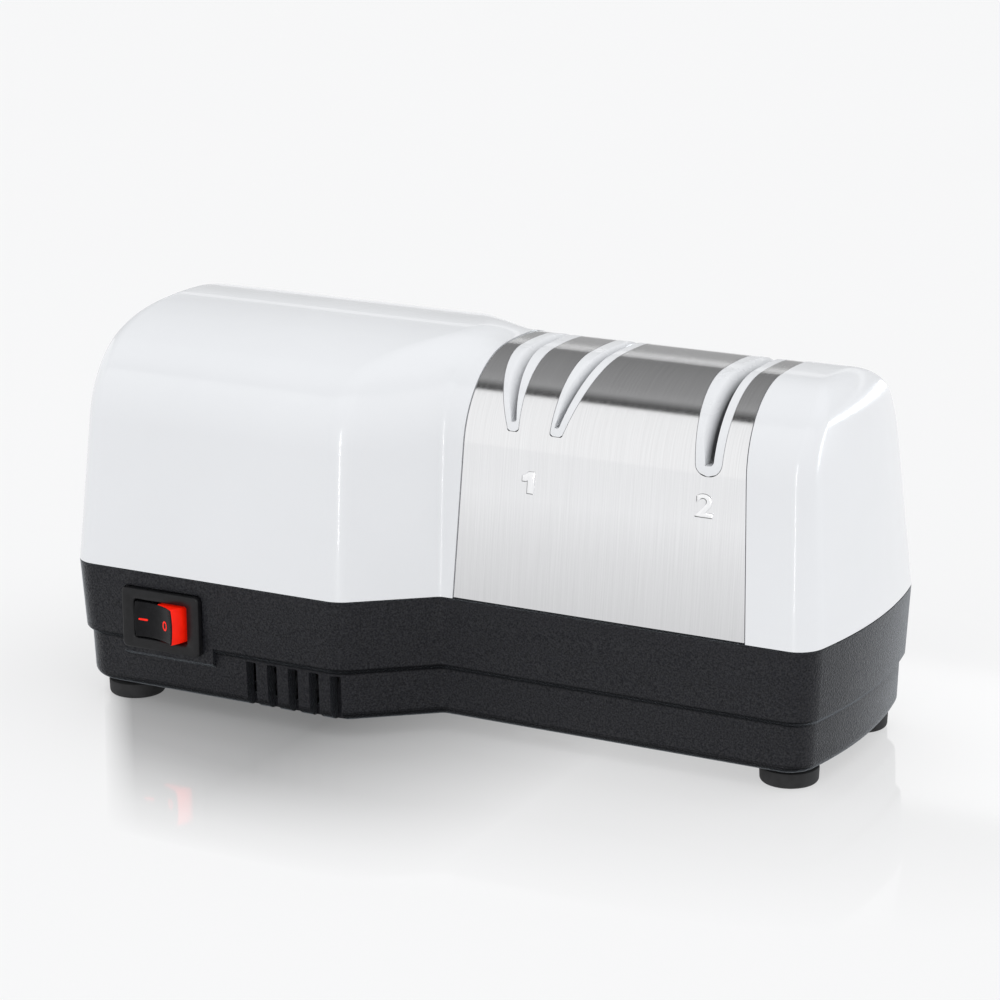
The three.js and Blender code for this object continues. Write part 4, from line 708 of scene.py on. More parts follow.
def lead_in_cutter(name, slot, lead_depth):
    """The rolled lead-in beside a blade gap, carried along the arch.

    At a station, its edge leaves the gap at the lead depth and rolls out to the surface on a quarter
    ellipse: x = gap left - flare * (1 - sin t), depth = lead depth * (1 - cos t). The flare grows from the foot.
    """
    form = in_metres(slot)
    t = np.linspace(0, np.pi / 2, 13)
    above = 1.5 * MM
    depths = np.concatenate([[-above], lead_depth * (1 - np.cos(t))])
    y, z = np.stack([arch(depth, form["gap_foot"], wall_steps=4) for depth in depths], 1).transpose(2, 0, 1)
    rise = z[:, 1:2] - form["gap_foot"]
    flare = form["lead"] * smooth_step(rise / (LEAD_RISE * MM))
    share = np.concatenate([[1.35], 1 - np.sin(t)])[None]
    gap_left = form["gap"] + form["gap_lean"] * (z - form["gap_foot"]) - form["gap_width"]
    left = gap_left - flare * share
    right = gap_left + form["gap_width"] / 2
    near, far = (np.stack([x, y + MIDDLE_Y, z], -1) for x in (left, right))
    return tube(name, np.concatenate([near, far[:, ::-1]], axis=1))


# Finishes


class Finish:
    """A material under construction, with short calls for its nodes."""

    def __init__(self, name, **sockets):
        self.material = bpy.data.materials.new(name)
        self.material.use_nodes = True
        self.nodes = self.material.node_tree.nodes
        self.links = self.material.node_tree.links
        self.shader = self.nodes["Principled BSDF"]
        for socket, value in sockets.items():
            target = self.shader.inputs[socket.replace("_", " ")]
            target.default_value = (*value, 1.0) if hasattr(value, "__len__") and len(value) == 3 else value
        self.place = self.node("ShaderNodeTexCoord").outputs["Object"]

    def node(self, kind, **values):
        """A node with its settings, or the values of its sockets, by name."""
        node = self.nodes.new(kind)
        for key, value in values.items():
            if hasattr(node, key):
                setattr(node, key, value)
            else:
                node.inputs[key.replace("_", " ")].default_value = value
        return node

    def link(self, source, target):
        self.links.new(source, target)

    def fed(self, kind, source, **values):
        """A node whose first input is the source."""
        node = self.node(kind, **values)
        self.link(source, node.inputs[0])
        return node

    def stretched(self, x, y, z):
        """Object coordinates scaled by each axis."""
        return self.fed("ShaderNodeMapping", self.place, Scale=(x, y, z)).outputs["Vector"]

    def noise(self, source, scale, detail, roughness=0.55):
        """A cloudy pattern."""
        node = self.fed("ShaderNodeTexNoise", source, Scale=scale, Detail=detail, Roughness=roughness)
        return node.outputs["Fac"]

    def cells(self, scale):
        """The distance from the middle of the nearest cell, in object coordinates."""
        return self.fed("ShaderNodeTexVoronoi", self.place, Scale=scale, feature="F1").outputs["Distance"]

    def waves(self, scale, waver, axis):
        """Bands square to an axis."""
        values = {"Scale": scale, "Distortion": waver, "bands_direction": axis}
        return self.fed("ShaderNodeTexWave", self.place, **values).outputs["Fac"]

    def ramp(self, source, stops):
        """A ramp through (position, value or colour) stops."""
        node = self.fed("ShaderNodeValToRGB", source)
        elements = node.color_ramp.elements
        while len(elements) < len(stops):
            elements.new(0.5)
        for element, (position, value) in zip(elements, stops):
            element.position = position
            element.color = (*value, 1) if hasattr(value, "__len__") else (value, value, value, 1)
        return node.outputs["Color"]

    def drive(self, socket, source):
        """Feeds a socket of the shader, in place of what fed it before."""
        self.link(source, self.shader.inputs[socket])

    def dent(self, height, distance, strength, under=None):
        """Bumps the surface by a pattern, on top of any bump below it."""
        node = self.node("ShaderNodeBump", Distance=distance, Strength=strength)
        self.link(height, node.inputs["Height"])
        if under is not None:
            self.link(under, node.inputs["Normal"])
        self.drive("Normal", node.outputs["Normal"])
        return node.outputs["Normal"]

    def tinted(self, source, value, first, last, low=0.35, high=0.65):
        """The base colour between two shares of a colour, by a pattern."""
        self.drive("Base Color", self.ramp(source, [(low, toned(value, first)), (high, toned(value, last))]))

    def roughened(self, source, least, most):
        """The roughness between two values, by a pattern."""
        self.drive("Roughness", self.ramp(source, [(0.3, least), (0.7, most)]))

    def own(self, name):
        """A value that the piece carries on its mesh."""
        return self.node("ShaderNodeAttribute", attribute_name=name).outputs["Fac"]

    def shaded_by(self, source, stops, socket="Base Color"):
        """Multiplies what already drives a socket, as a rule the base colour, by a ramp along a value."""
        product = self.node("ShaderNodeVectorMath", operation="MULTIPLY")
        self.link(self.shader.inputs[socket].links[0].from_socket, product.inputs[0])
        self.link(self.ramp(source, stops), product.inputs[1])
        self.drive(socket, product.outputs["Vector"])

    def coordinate(self, source, axis):
        """One coordinate of a vector."""
        return self.fed("ShaderNodeSeparateXYZ", source).outputs[axis]


def toned(value, share):
    """A colour made lighter or darker by a share."""
    return tuple(min(1.0, channel * share) for channel in value)


def gloss_white_finish(name, value, roughness=0.22):
    """Moulded gloss plastic: a faint cloud in its tone, fine flow in its gloss and a very shallow ripple."""
    made = Finish(name, Roughness=roughness, Coat_Weight=0.4, Coat_Roughness=0.03, IOR=1.46)
    made.tinted(made.noise(made.stretched(18, 18, 18), 1.0, 4.0), value, 0.985, 1.01)
    made.roughened(made.noise(made.stretched(60, 60, 90), 1.0, 5.0), roughness * 0.9, roughness * 1.15)
    made.dent(made.noise(made.stretched(220, 220, 220), 1.0, 1.0), 0.00002, 0.35)
    return made


def grained_finish(name, value):
    """Black moulding with a spark-eroded grain: cells and noise in the bump, glints on the grains and a mottle."""
    roughness, grain, depth = 0.36, 2400, 0.00014
    made = Finish(name, Roughness=roughness, IOR=1.46, Sheen_Weight=0.5, Sheen_Roughness=0.3)
    made.shader.inputs["Sheen Tint"].default_value = (0.85, 0.92, 1.0, 1.0)
    mottle = made.noise(made.place, 1500, 3.0)
    made.tinted(mottle, value, 0.7, 1.4)
    grains = made.noise(made.place, grain, 2.0, 0.6)
    made.drive("Specular IOR Level", made.ramp(grains, [(0.35, 0.12), (0.65, 0.4)]))
    made.dent(grains, depth * 0.7, 0.6, under=made.dent(made.cells(grain), depth, 0.6))
    made.roughened(mottle, roughness * 0.85, roughness * 1.2)
    return made


def base_finish(name, value):
    """The grained black, with painted shade: darker and less glossy on the faces that look down, such as under the
    ledge.
    """
    made = grained_finish(name, value)
    for socket, least in (("Base Color", 0.25), ("Specular IOR Level", 0.04)):
        made.shaded_by(made.own("painted_underside_shade"), [(0.1, 1.0), (0.55, least)], socket)
    return made.material


def brushed_finish(name, value, across, roughness):
    """Brushed sheet: streaks that are fine across the brushing and long along it, in tone, gloss and bump."""
    made = Finish(name, Metallic=1.0, Roughness=roughness)
    fine = made.noise(made.stretched(*across), 1.0, 6.0, 0.7)
    broad = made.noise(made.stretched(*(share * 0.22 for share in across)), 1.0, 3.0)
    made.tinted(fine, value, 0.93, 1.04, 0.3, 0.72)
    made.roughened(broad, roughness * 0.88, roughness * 1.16)
    made.dent(fine, 0.00002, 0.5)
    return made


COVER_BRUSHING = (5200, 45, 45)


def cover_finish(name, value):
    """Brushed cover steel with painted shade, darker towards its foot and a little towards its crest. Its height is
    in units of 100 mm.
    """
    made = brushed_finish(name, value, COVER_BRUSHING, 0.13)
    height = made.coordinate(made.stretched(10, 10, 10), "Z")
    # Painted shade by height: darkest at the foot, full tone from about 62 mm, a little darker again near the crest
    made.shaded_by(height, [(0.37, 0.79), (0.5, 0.88), (0.62, 1.0), (0.8, 0.985), (0.9, 0.95)])
    return made.material


def numeral_finish(name, value):
    """The same steel on the numerals, with painted shade on the flanks of their edges that face down and to the left.
    """
    made = brushed_finish(name, value, COVER_BRUSHING, 0.16)
    made.shaded_by(made.own("pressed"), [(0.0, 1.0), (1.0, 0.1)])
    return made.material


def guide_finish(name, value):
    """Guide plastic with painted shade that deepens from the surface into the blade gap, down to near black."""
    made = gloss_white_finish(name, value, 0.26)
    made.shaded_by(made.own("inside"), [(0.02, 1.0), (0.35, 0.86), (0.75, 0.5), (0.95, 0.16), (1.0, 0.02)])
    return made.material


def satin_finish(name, value, roughness, gloss=0.5, glow=0.0):
    """Smooth moulding: soft gloss with a faint cloud, and a painted glow in its own colour when glow is set."""
    made = Finish(name, Roughness=roughness, IOR=1.5, Specular_IOR_Level=gloss, Emission_Strength=glow)
    made.shader.inputs["Emission Color"].default_value = (*value, 1.0)
    cloud = made.noise(made.place, 700, 3.0)
    made.tinted(cloud, value, 0.8, 1.25)
    made.roughened(cloud, roughness * 0.9, roughness * 1.12)
    made.dent(made.noise(made.place, 4200, 2.0), 0.00002, 0.3)
    return made.material


def rubber_finish(name, value):
    """Matt rubber with a dusty mottle and a soft grain."""
    made = Finish(name, Roughness=0.78, IOR=1.45)
    dust = made.noise(made.place, 420, 5.0)
    made.tinted(dust, value, 0.75, 1.6)
    made.roughened(dust, 0.7, 0.88)
    made.dent(made.noise(made.place, 3000, 3.0), 0.00006, 0.5)
    return made.material


def metal_finish(name, value, roughness):
    """Plain machined or plated metal with a fine mottle."""
    made = Finish(name, Metallic=1.0, Roughness=roughness)
    mottle = made.noise(made.place, 900, 4.0)
    made.tinted(mottle, value, 0.88, 1.08)
    made.roughened(mottle, roughness * 0.85, roughness * 1.2)
    made.dent(mottle, 0.00001, 0.3)
    return made.material


def sheets_finish(name, value):
    """Stacked core sheets: thin dark lines square to X."""
    made = Finish(name, Metallic=0.9, Roughness=0.5)
    lines = made.waves(320.0, 0.0, "X")
    made.tinted(lines, value, 0.45, 1.0, 0.1, 0.4)
    made.dent(lines, 0.0001, 0.6)
    return made.material


def winding_finish(name, value):
    """Enamelled wire: ridges square to Y with a slight waver."""
    made = Finish(name, Metallic=0.85, Roughness=0.3, Coat_Weight=0.4)
    ridges = made.waves(420.0, 0.6, "Y")
    made.tinted(ridges, value, 0.35, 1.0, 0.05, 0.5)
    made.dent(ridges, 0.00025, 0.8)
    return made.material


def abrasive_finish(name, value, scale):
    """Diamond grit on steel: bright and dark grains with a sharp bump."""
    made = Finish(name, Metallic=0.75, Roughness=0.55)
    grit = made.cells(scale)
    made.tinted(grit, value, 1.5, 0.6, 0.1, 0.6)
    made.dent(grit, 0.00012, 0.8)
    return made.material


def mark_facing(piece, name, direction, gain, start):
    """Marks each face with how much it looks in a direction: gain * cosine - start, held between 0 and 1."""
    cosine = read_rows(piece.data.polygons, "normal") @ np.array(direction)
    mark(piece, name, "FACE", np.clip(cosine * gain - start, 0, 1))


def dress(piece, finish):
    """Gives every material slot of a piece one finish."""
    piece.data.materials.clear()
    piece.data.materials.append(finish)
    return piece


def seat(piece, body_name, slot_name, finish, *nodes):
    """Dresses a piece, sets it on its body and hides the nodes that it stands for; the slot name is not used."""
    if finish is not None:
        dress(piece, finish)
    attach(piece, body_name)
    if nodes:
        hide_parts(*nodes)
    return piece


# Operators


class SHARPENER_OT_housing(bpy.types.Operator):
    """White upper housing: a fine dome with the recess of the plate and the windows of the guides"""

    bl_idname = "sharpener.housing"
    bl_label = "White housing"

    def execute(self, context):
        body, slots, _, colours = sizes()
        outer = dome(0.0, self.shares(0.55, 10, 0.996, 64))
        inner = dome(body.wall, self.shares(0.5, 4, 0.985, 14))
        outer[0, :, 2] = inner[0, :, 2] = body.joint_height + body.seam / 2
        piece = shell("white_housing", outer, inner)
        depth = slots.plate_sink + slots.plate_thickness + body.seam
        recess = arched(
            "recess", -PAST, depth, body.joint_height - PAST,
            lambda z: plate_edge("left", z) - body.seam, lambda z: plate_edge("right", z) + body.seam,
        )
        carve(piece, [recess, *slot_windows()])
        shade(piece, SHARP)
        white = gloss_white_finish("gloss white", colours.housing_white).material
        seat(piece, "body", "housing_white", white, "upper_housing")
        return {"FINISHED"}

    def shares(self, wall_top, wall_rows, last, top_rows):
        """Shares of the height: even up the wall, then 1 - (1 - wall top) * (1 - t)^2, closer towards the crest."""
        t = np.linspace(0, last, top_rows)
        return np.concatenate([np.linspace(0, wall_top, wall_rows)[:-1], 1 - (1 - wall_top) * (1 - t) ** 2])


def plate_edge(side, z):
    """Where an end of the plate lies at a height: a straight slant from the seam to the crest."""
    body, slots = sizes()[:2]
    low = getattr(slots, f"plate_{side}")
    high = getattr(slots, f"plate_{side}_top")
    return low + (high - low) * (z - body.joint_height) / (body.narrow_crest - body.joint_height)


def slot_windows():
    """Cutters through both sides with the outlines of the slots."""
    return [through_cut(f"window {name}", SlotForm(slot).outline()) for name, slot in SLOTS.items()]


def switch_seat():
    """The plane in Y that the switch frame is seated on, a little inside the front of the base."""
    return MIDDLE_Y - bpy.context.scene.sharpener_body.motor_half_depth + 0.9 * MM


class SHARPENER_OT_base(bpy.types.Operator):
    """Black base: banded shell with its step, foot fillet, air slots, switch pad and openings"""

    bl_idname = "sharpener.base"
    bl_label = "Black base"

    def execute(self, context):
        body, _, switch, colours = sizes()
        bottom, joint, seam, wall = body.base_bottom, body.joint_height - body.seam / 2, body.seam, body.base_wall
        step_low, step_high, fillet = 16.4 * MM, 18.4 * MM, 3.2 * MM
        upper, lower, foot = 0.9 * MM, 2.05 * MM, 2.35 * MM
        share, turn = np.linspace(0, 1, 9), np.linspace(0, np.pi / 2, 9)
        rows = [(joint, upper * (seam / 2) / (body.joint_height - step_high))]
        rows += list(zip(step_high - (step_high - step_low) * share, upper + (lower - upper) * smooth_step(share)))
        rows += list(zip(bottom + fillet * (1 - np.sin(turn)), foot + fillet * (1 - np.cos(turn))))
        floor = bottom + 2.6 * MM
        hollow = [(joint, wall), (step_high, upper + wall), (step_low, lower + wall), (floor, foot + wall)]
        piece = shell("black_base", bands(rows), bands(hollow))
        carve(piece, [self.pad(switch)], "UNION")
        cutters = [*self.vents(body, lower + wall + seam), *self.switch_openings(switch, seam)]

        low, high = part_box("cord_gland")
        back, flange, bush = MIDDLE_Y + body.motor_half_depth, (high.x - low.x) / 2, 5.9 * MM
        for radius, depth in ((flange + seam, 2.2 * MM), (bush, 8 * MM)):
            cutters.append(bore("cord_gland", "Y", back - depth, back + PAST, radius))
        stem, screw_head, counterbore = 2.5 * MM, 3.6 * MM, 2.1 * MM
        for node in frame["nodes"]:
            if node.startswith("foot_"):
                cutters.append(bore(node, "Z", bottom - PAST, floor + PAST, stem, 40))
            elif node.startswith("housing_screw_"):
                cutters.append(bore(node, "Z", bottom - PAST, bottom + counterbore, screw_head, 40))
        low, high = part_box("swarf_cover")
        rebate, ledge = 1.8 * MM, 2 * MM
        for grow, top in ((seam, bottom + rebate), (-ledge, floor + PAST)):
            across, up = (low.x - grow, high.x + grow), (low.y - grow, high.y + grow)
            cutters.append(box_prism("lid seat", across, up, 3 * MM, "Z", bottom - PAST, top))
        carve(piece, cutters)
        # Painted shade: marks how far each face looks down, for the base finish to darken it and dull its gloss
        mark_facing(piece, "painted_underside_shade", (0.0, 0.0, -1.0), 1.0, 0.0)
        shade(piece, SHARP)
        seat(piece, "body", "base_black", base_finish("grained black", colours.base_black), "base_housing")
        return {"FINISHED"}

    def pad(self, switch):
        """The pad under the switch, a prism along X with a chamfer on its lower front edge."""
        front, depth, chamfer, chamfer_depth = switch_seat(), 2 * MM, 1.1 * MM, 1.3 * MM
        half, past_left, past_right = switch.bezel_length / 2, 1.0 * MM, 2.7 * MM
        drop, shorter = 2.9 * MM, 6 * MM
        bottom = switch.height - switch.bezel_height / 2 - drop
        top = bottom + switch.bezel_height - shorter
        outline = [
            (front, bottom + chamfer), (front, top), (front + depth, top), (front + depth, bottom),
            (front + chamfer_depth, bottom),
        ]
        return prism("pad", outline, "X", switch.middle - half - past_left, switch.middle + half + past_right)

    def vents(self, body, depth):
        """Cutters of the five air slots on each side."""
        pitch, half, top, corner, from_bend = 5.95 * MM, 1.4 * MM, 16.1 * MM, 0.35 * MM, 11.25 * MM
        middle = body.shoulder_start - body.shoulder_outer * shoulder_shift_share() - from_bend
        for i in range(5):
            for side in (-1, 1):
                wall = MIDDLE_Y + side * body.motor_half_depth
                near, far = sorted((wall, wall - side * depth))
                across = around(middle + (i - 2) * pitch, half)
                yield box_prism("vent", across, (body.base_bottom - PAST, top), corner, "Y", near, far, 3)

    def switch_openings(self, switch, seam):
        """Cutters of the frame's flat seat and of the hole for its snap-in body."""
        seat_plane, hole_half, hole_depth = switch_seat(), (9.6 * MM, 7 * MM), 10 * MM
        across = around(switch.middle, switch.bezel_length / 2 + seam)
        up = around(switch.height, switch.bezel_height / 2 + seam)
        yield box_prism("frame seat", across, up, 1.4 * MM, "Y", seat_plane - PAST, seat_plane)
        across, up = around(switch.middle, hole_half[0]), around(switch.height, hole_half[1])
        yield box_prism("switch hole", across, up, 0.3 * MM, "Y", seat_plane - PAST, seat_plane + hole_depth, 2)


class SHARPENER_OT_cover_plate(bpy.types.Operator):
    """Brushed steel cover plate, bent over the arch, with its slots and embossed numerals"""

    bl_idname = "sharpener.cover_plate"
    bl_label = "Steel cover plate"

    def execute(self, context):
        body, slots, _, colours = sizes()
        sink, thickness = slots.plate_sink, slots.plate_thickness
        foot = body.joint_height + 1.5 * body.seam
        piece = arched(
            "cover_plate", sink, sink + thickness, foot,
            lambda z: plate_edge("left", z), lambda z: plate_edge("right", z), steps=12, wall_steps=8,
        )
        carve(piece, slot_windows())
        shade(piece, SHARP)
        seat(piece, "body", "cover_steel", cover_finish("brushed steel", colours.steel), "steel_cover_plate")
        # Painted highlight: the numerals take a lighter copy of the plate steel
        steel = numeral_finish("numeral steel", toned(colours.steel, 1.09))
        for text, left, width, bottom, height in (("1", 20.3, 3.4, 63.2, 5.45), ("2", 65.45, 4.75, 63.4, 5.65)):
            numeral = plate_numeral(text, left * MM, width * MM, bottom * MM, height * MM)
            seat(numeral, "body", "cover_steel", steel)
        return {"FINISHED"}


# Corners of the one, as shares of its width and height
ONE = [(0, 0.57), (0, 0.8), (0.3, 0.86), (0.56, 1), (1, 1), (1, 0), (0.5, 0), (0.5, 0.63), (0.26, 0.57)]


def flat_form(text):
    """The outline of a numeral as a flat curve: a one drawn from listed corners, anything else in the plain font."""
    if text != "1":
        curve = bpy.data.curves.new(f"numeral {text}", "FONT")
        curve.body = text
        return curve
    curve = bpy.data.curves.new("numeral 1", "CURVE")
    curve.dimensions, curve.fill_mode = "2D", "BOTH"
    spline = curve.splines.new("POLY")
    spline.points.add(len(ONE) - 1)
    spline.use_cyclic_u = True
    corners = np.array([(0.42 * x, 0.7 * y, 0, 1) for x, y in ONE])
    spline.points.foreach_set("co", corners.ravel())
    return curve


def plate_numeral(text, left, width, bottom, height):
    """An embossed numeral on the front of the plate. A flat outline with a rounded edge is made a mesh, scaled
    to its box, and laid on the drafted face: y = face(z) - relief * (2 * share of its thickness - 1)."""
    body, slots = sizes()[:2]
    curve = flat_form(text)
    curve.bevel_depth = 0.06
    curve.bevel_resolution = 3
    curve.offset = -0.02
    source = placed(f"numeral {text}", curve)
    mesh = bpy.data.meshes.new_from_object(source.evaluated_get(bpy.context.evaluated_depsgraph_get()))
    bpy.data.objects.remove(source)
    welded = bmesh.new()
    welded.from_mesh(mesh)
    bmesh.ops.remove_doubles(welded, verts=welded.verts, dist=0.0005)
    welded.to_mesh(mesh)
    welded.free()
    flat = read_rows(mesh.vertices, "co")
    low, high = flat.min(0), flat.max(0)
    share = (flat - low) / (high - low)
    crown = Crown("narrow", body.narrow_half_depth, body.narrow_crest)
    x = left + width * share[:, 0]
    z = bottom + height * share[:, 1]
    face = MIDDLE_Y - body.narrow_half_depth + (z - body.joint_height) * crown.lean + slots.plate_sink
    y = face - slots.numeral_proud * (2 * share[:, 2] - 1)
    mesh.vertices.foreach_set("co", np.stack([x, y, z], -1).ravel())
    mesh.update()
    piece = point_outwards(placed(f"numeral_{text}", mesh))
    # Painted shade on the flanks that face down and to the left, for the numeral finish
    mark_facing(piece, "pressed", (-0.7, 0.0, -0.7), 5.0, 0.3)
    shade(piece, 50)
    return piece


def depth_inside(piece, offset, foot, reach):
    """Marks each point with its depth under the arch surface as a share of a reach: 0 on it, 1 at the reach."""
    section = arch(offset, foot)
    start, run = section[:-1], np.diff(section, axis=0)
    spot = read_rows(piece.data.vertices, "co")[:, None, 1:] - np.array([MIDDLE_Y, 0.0])
    share = np.clip(((spot - start) * run).sum(-1) / (run**2).sum(-1), 0, 1)
    away = np.linalg.norm(spot - start - share[..., None] * run, axis=-1).min(1)
    mark(piece, "inside", "POINT", np.clip(away / reach, 0, 1))


class SHARPENER_OT_guides(bpy.types.Operator):
    """White slot guides with their blade gaps and rolled lead-ins"""

    bl_idname = "sharpener.guides"
    bl_label = "Slot guides"

    def execute(self, context):
        _, slots, _, colours = sizes()
        white = guide_finish("guide white", colours.guide_white)
        for name, slot in SLOTS.items():
            form = SlotForm(slot, 0.12 * MM)
            piece = arched(
                name.replace("_guide", "_guide_insert"), slots.plate_sink, slots.guide_depth, form.foot, form.left,
                form.right, steps=6, wall_steps=14,
            )
            carve(piece, [gap_cutter("gap " + name, slot), lead_in_cutter("lead " + name, slot, slots.lead_depth)])
            # Painted shade: the depth under the surface, which the guide finish turns into darkness towards the gap
            depth_inside(piece, slots.plate_sink, form.foot, slots.lead_depth)
            shade(piece, 30)
            seat(piece, "body", "guide_white", white, name)
        return {"FINISHED"}


def rocker_point(u, v):
    """A point of the rocker's own section (u along its face, v out of it) at rest, as x and y."""
    switch = bpy.context.scene.sharpener_switch
    joint = next(j for j in frame["joints"] if j["name"] == "rocker_tilt")
    pivot_x, pivot_y, _ = joint["pos_m"]
    turn = switch.throw / 2
    u, v = np.asarray(u, float), np.asarray(v, float)
    return pivot_x + u * math.cos(turn) - v * math.sin(turn), pivot_y - u * math.sin(turn) - v * math.cos(turn)


def rocker_face(u):
    """Height of the rocker's dished face over its pivot: 4 mm + reach * tan(half throw) * (u / reach)^2."""
    switch = bpy.context.scene.sharpener_switch
    return 4 * MM + switch.face_reach * math.tan(switch.throw / 2) * (np.asarray(u) / switch.face_reach) ** 2


def bulged(along, across, half, bulge):
    """Ends that bow out: the distance along is drawn in by bulge * (across / half)^2, more so further out."""
    share = smooth_step(np.abs(along) / np.abs(along).max())
    return along - np.sign(along) * share * bulge * (across / half) ** 2


class SHARPENER_OT_switch(bpy.types.Operator):
    """Rocker switch: a rounded frame, a dished rocker with a red flank, and its two marks"""

    bl_idname = "sharpener.switch"
    bl_label = "Rocker switch"

    def execute(self, context):
        body, _, switch, colours = sizes()
        black = satin_finish("switch black", colours.switch_black, 0.34, 0.26)
        rocker_black = satin_finish("rocker black", colours.switch_black, 0.22, 0.1)
        # Painted light: the red glows at a quarter strength, though no lamp is in it
        red = satin_finish("switch red", colours.switch_red, 0.4, 0.25, 0.25)
        seat(self.bezel(body, switch), "body", "switch_black", black, "switch_frame")

        half_height = switch.pocket_height / 2 - 0.35 * MM
        rocker = self.rocker(switch, half_height)
        rocker.data.materials.append(rocker_black)
        rocker.data.materials.append(red)
        self.paint_flank(rocker, switch, half_height)
        seat(rocker, "rocker", "rocker_black", None, "switch_rocker")
        for patch in (self.bar(), self.ring()):
            seat(patch, "rocker", "rocker_black", red)
        return {"FINISHED"}

    def bezel(self, body, switch):
        """The frame as one tube of rings: the snap-in body, the rounded edge, and the opening down to its floor."""
        back = switch_seat() - body.seam
        front = back - switch.bezel_proud
        half = (switch.bezel_length / 2, switch.bezel_height / 2)
        pocket = (switch.pocket_length / 2, switch.pocket_height / 2)
        snap_in, edge, corner = (9.3 * MM, 6.7 * MM), 0.5 * MM, 1.1 * MM
        rings = [(*snap_in, back + 13 * MM, 0.5 * MM, 0), (*snap_in, back, 0.5 * MM, 0), (*half, back, corner, 0)]
        for turn in np.linspace(0, np.pi / 2, 5):
            inset = edge * (1 - np.cos(turn))
            rings.append((half[0] - inset, half[1] - inset, front + edge * (1 - np.sin(turn)), corner, 0))
        for grow, depth, radius in ((0.45, 0, 0.75), (0.1, 0.35, 0.6), (0, 0.6, 0.5), (0, 9, 0.5)):
            sides = (pocket[0] + grow * MM, pocket[1] + grow * MM)
            rings.append((*sides, front + depth * MM, radius * MM, switch.end_bulge))
        loops = []
        for a, b, y, radius, bulge in rings:
            x, z = rounded_rectangle(-a, a, -b, b, radius).T
            x = bulged(x, z, b, bulge)
            loops.append(np.stack([x + switch.middle, np.full(len(x), y), z + switch.height], -1))
        return tube("switch_bezel", np.array(loops), 50)

    def rocker(self, switch, half_height):
        """The rocker as rings round its section, one per height, closed by strips from the face to the root."""
        u = np.linspace(-switch.face_reach, switch.face_reach, 41)
        flank = switch.flank_reach
        top = np.concatenate([[[-flank, 1.8 * MM]], np.stack([u, rocker_face(u)], -1), [[flank, 1.8 * MM]]])
        root = np.stack([top[::-1, 0], np.full(len(top), -1.0 * MM)], -1)
        section = np.concatenate([top, root])
        count, levels = len(section), 13
        height = np.linspace(-half_height, half_height, levels)[:, None]
        along = bulged(np.tile(section[:, 0], (levels, 1)), height, half_height, switch.end_bulge)
        x, y = rocker_point(along, section[None, :, 1])
        points = np.stack([x, y, np.broadcast_to(switch.height + height, x.shape)], -1).reshape(-1, 3)
        near = np.arange(len(top) - 1)
        strips = np.stack([near, near + 1, count - 2 - near, count - 1 - near], -1)
        faces = np.concatenate([tube_faces(levels, count), strips[:, ::-1], strips + (levels - 1) * count])
        piece = point_outwards(mesh_piece("rocker", points, faces))
        round_edges(piece, 0.3 * MM, 3, 40)
        shade(piece, 40)
        return piece

    def paint_flank(self, rocker, switch, half_height):
        """The flank at the raised end and the sides beside it take the red finish."""
        mesh = rocker.data
        centre = read_rows(mesh.polygons, "center")
        origin_x, origin_y = rocker_point(0, 0)
        turn = switch.throw / 2
        dx, dy = centre[:, 0] - origin_x, centre[:, 1] - origin_y
        u = dx * math.cos(turn) - dy * math.sin(turn)
        v = -dx * math.sin(turn) - dy * math.cos(turn)
        rise = np.abs(centre[:, 2] - switch.height)
        end = u + switch.end_bulge * (rise / half_height) ** 2 > switch.face_reach - 0.1 * MM
        flank = end & (v < rocker_face(switch.face_reach) - 0.25 * MM)
        side = (rise > half_height - 0.04 * MM) & (u > 0.3 * MM)
        mesh.polygons.foreach_set("material_index", (flank | side).astype(np.int32))
        mesh.update()

    def patch(self, name, u, h):
        """A thin raised patch over the face, given as a closed grid of (u, h) rows from its middle outwards."""
        switch = bpy.context.scene.sharpener_switch
        rows, columns = u.shape
        points = []
        for lift in (-0.05 * MM, 0.06 * MM):
            x, y = rocker_point(u, rocker_face(u) + lift)
            points.append(np.stack([x, y, switch.height + h], -1).reshape(-1, 3))
        count, last = rows * columns, (rows - 1) * columns
        faces = [tube_faces(rows, columns, count), tube_faces(rows, columns, flip=True)]
        faces += [strip(0, count, columns, flip=True), strip(last, last + count, columns)]
        return point_outwards(mesh_piece(name, np.concatenate(points), np.concatenate(faces), 40))

    def bar(self):
        """The bar on the pressed side: a stadium along the face, drawn as a thin closed grid."""
        t = np.linspace(0, 2 * np.pi, 40, endpoint=False)
        outline_u = 1.05 * MM * np.sign(np.cos(t)) * (np.abs(np.cos(t)) > 0.001) + 0.25 * MM * np.cos(t)
        outline_h = 0.25 * MM * np.sin(t)
        share = np.array([0.04, 1.0])[:, None]
        return self.patch("mark_on", -4.05 * MM + outline_u[None] * share, outline_h[None] * share)

    def ring(self):
        """The upright ring on the raised side, 1.8 mm wide, 2.5 mm high and 0.42 mm thick."""
        t = np.linspace(0, 2 * np.pi, 56, endpoint=False)
        across = np.array([0.48, 0.9])[:, None] * MM
        upright = np.array([0.83, 1.25])[:, None] * MM
        return self.patch("mark_off", 3.25 * MM + across * np.cos(t)[None], upright * np.sin(t)[None] - 0.3 * MM)


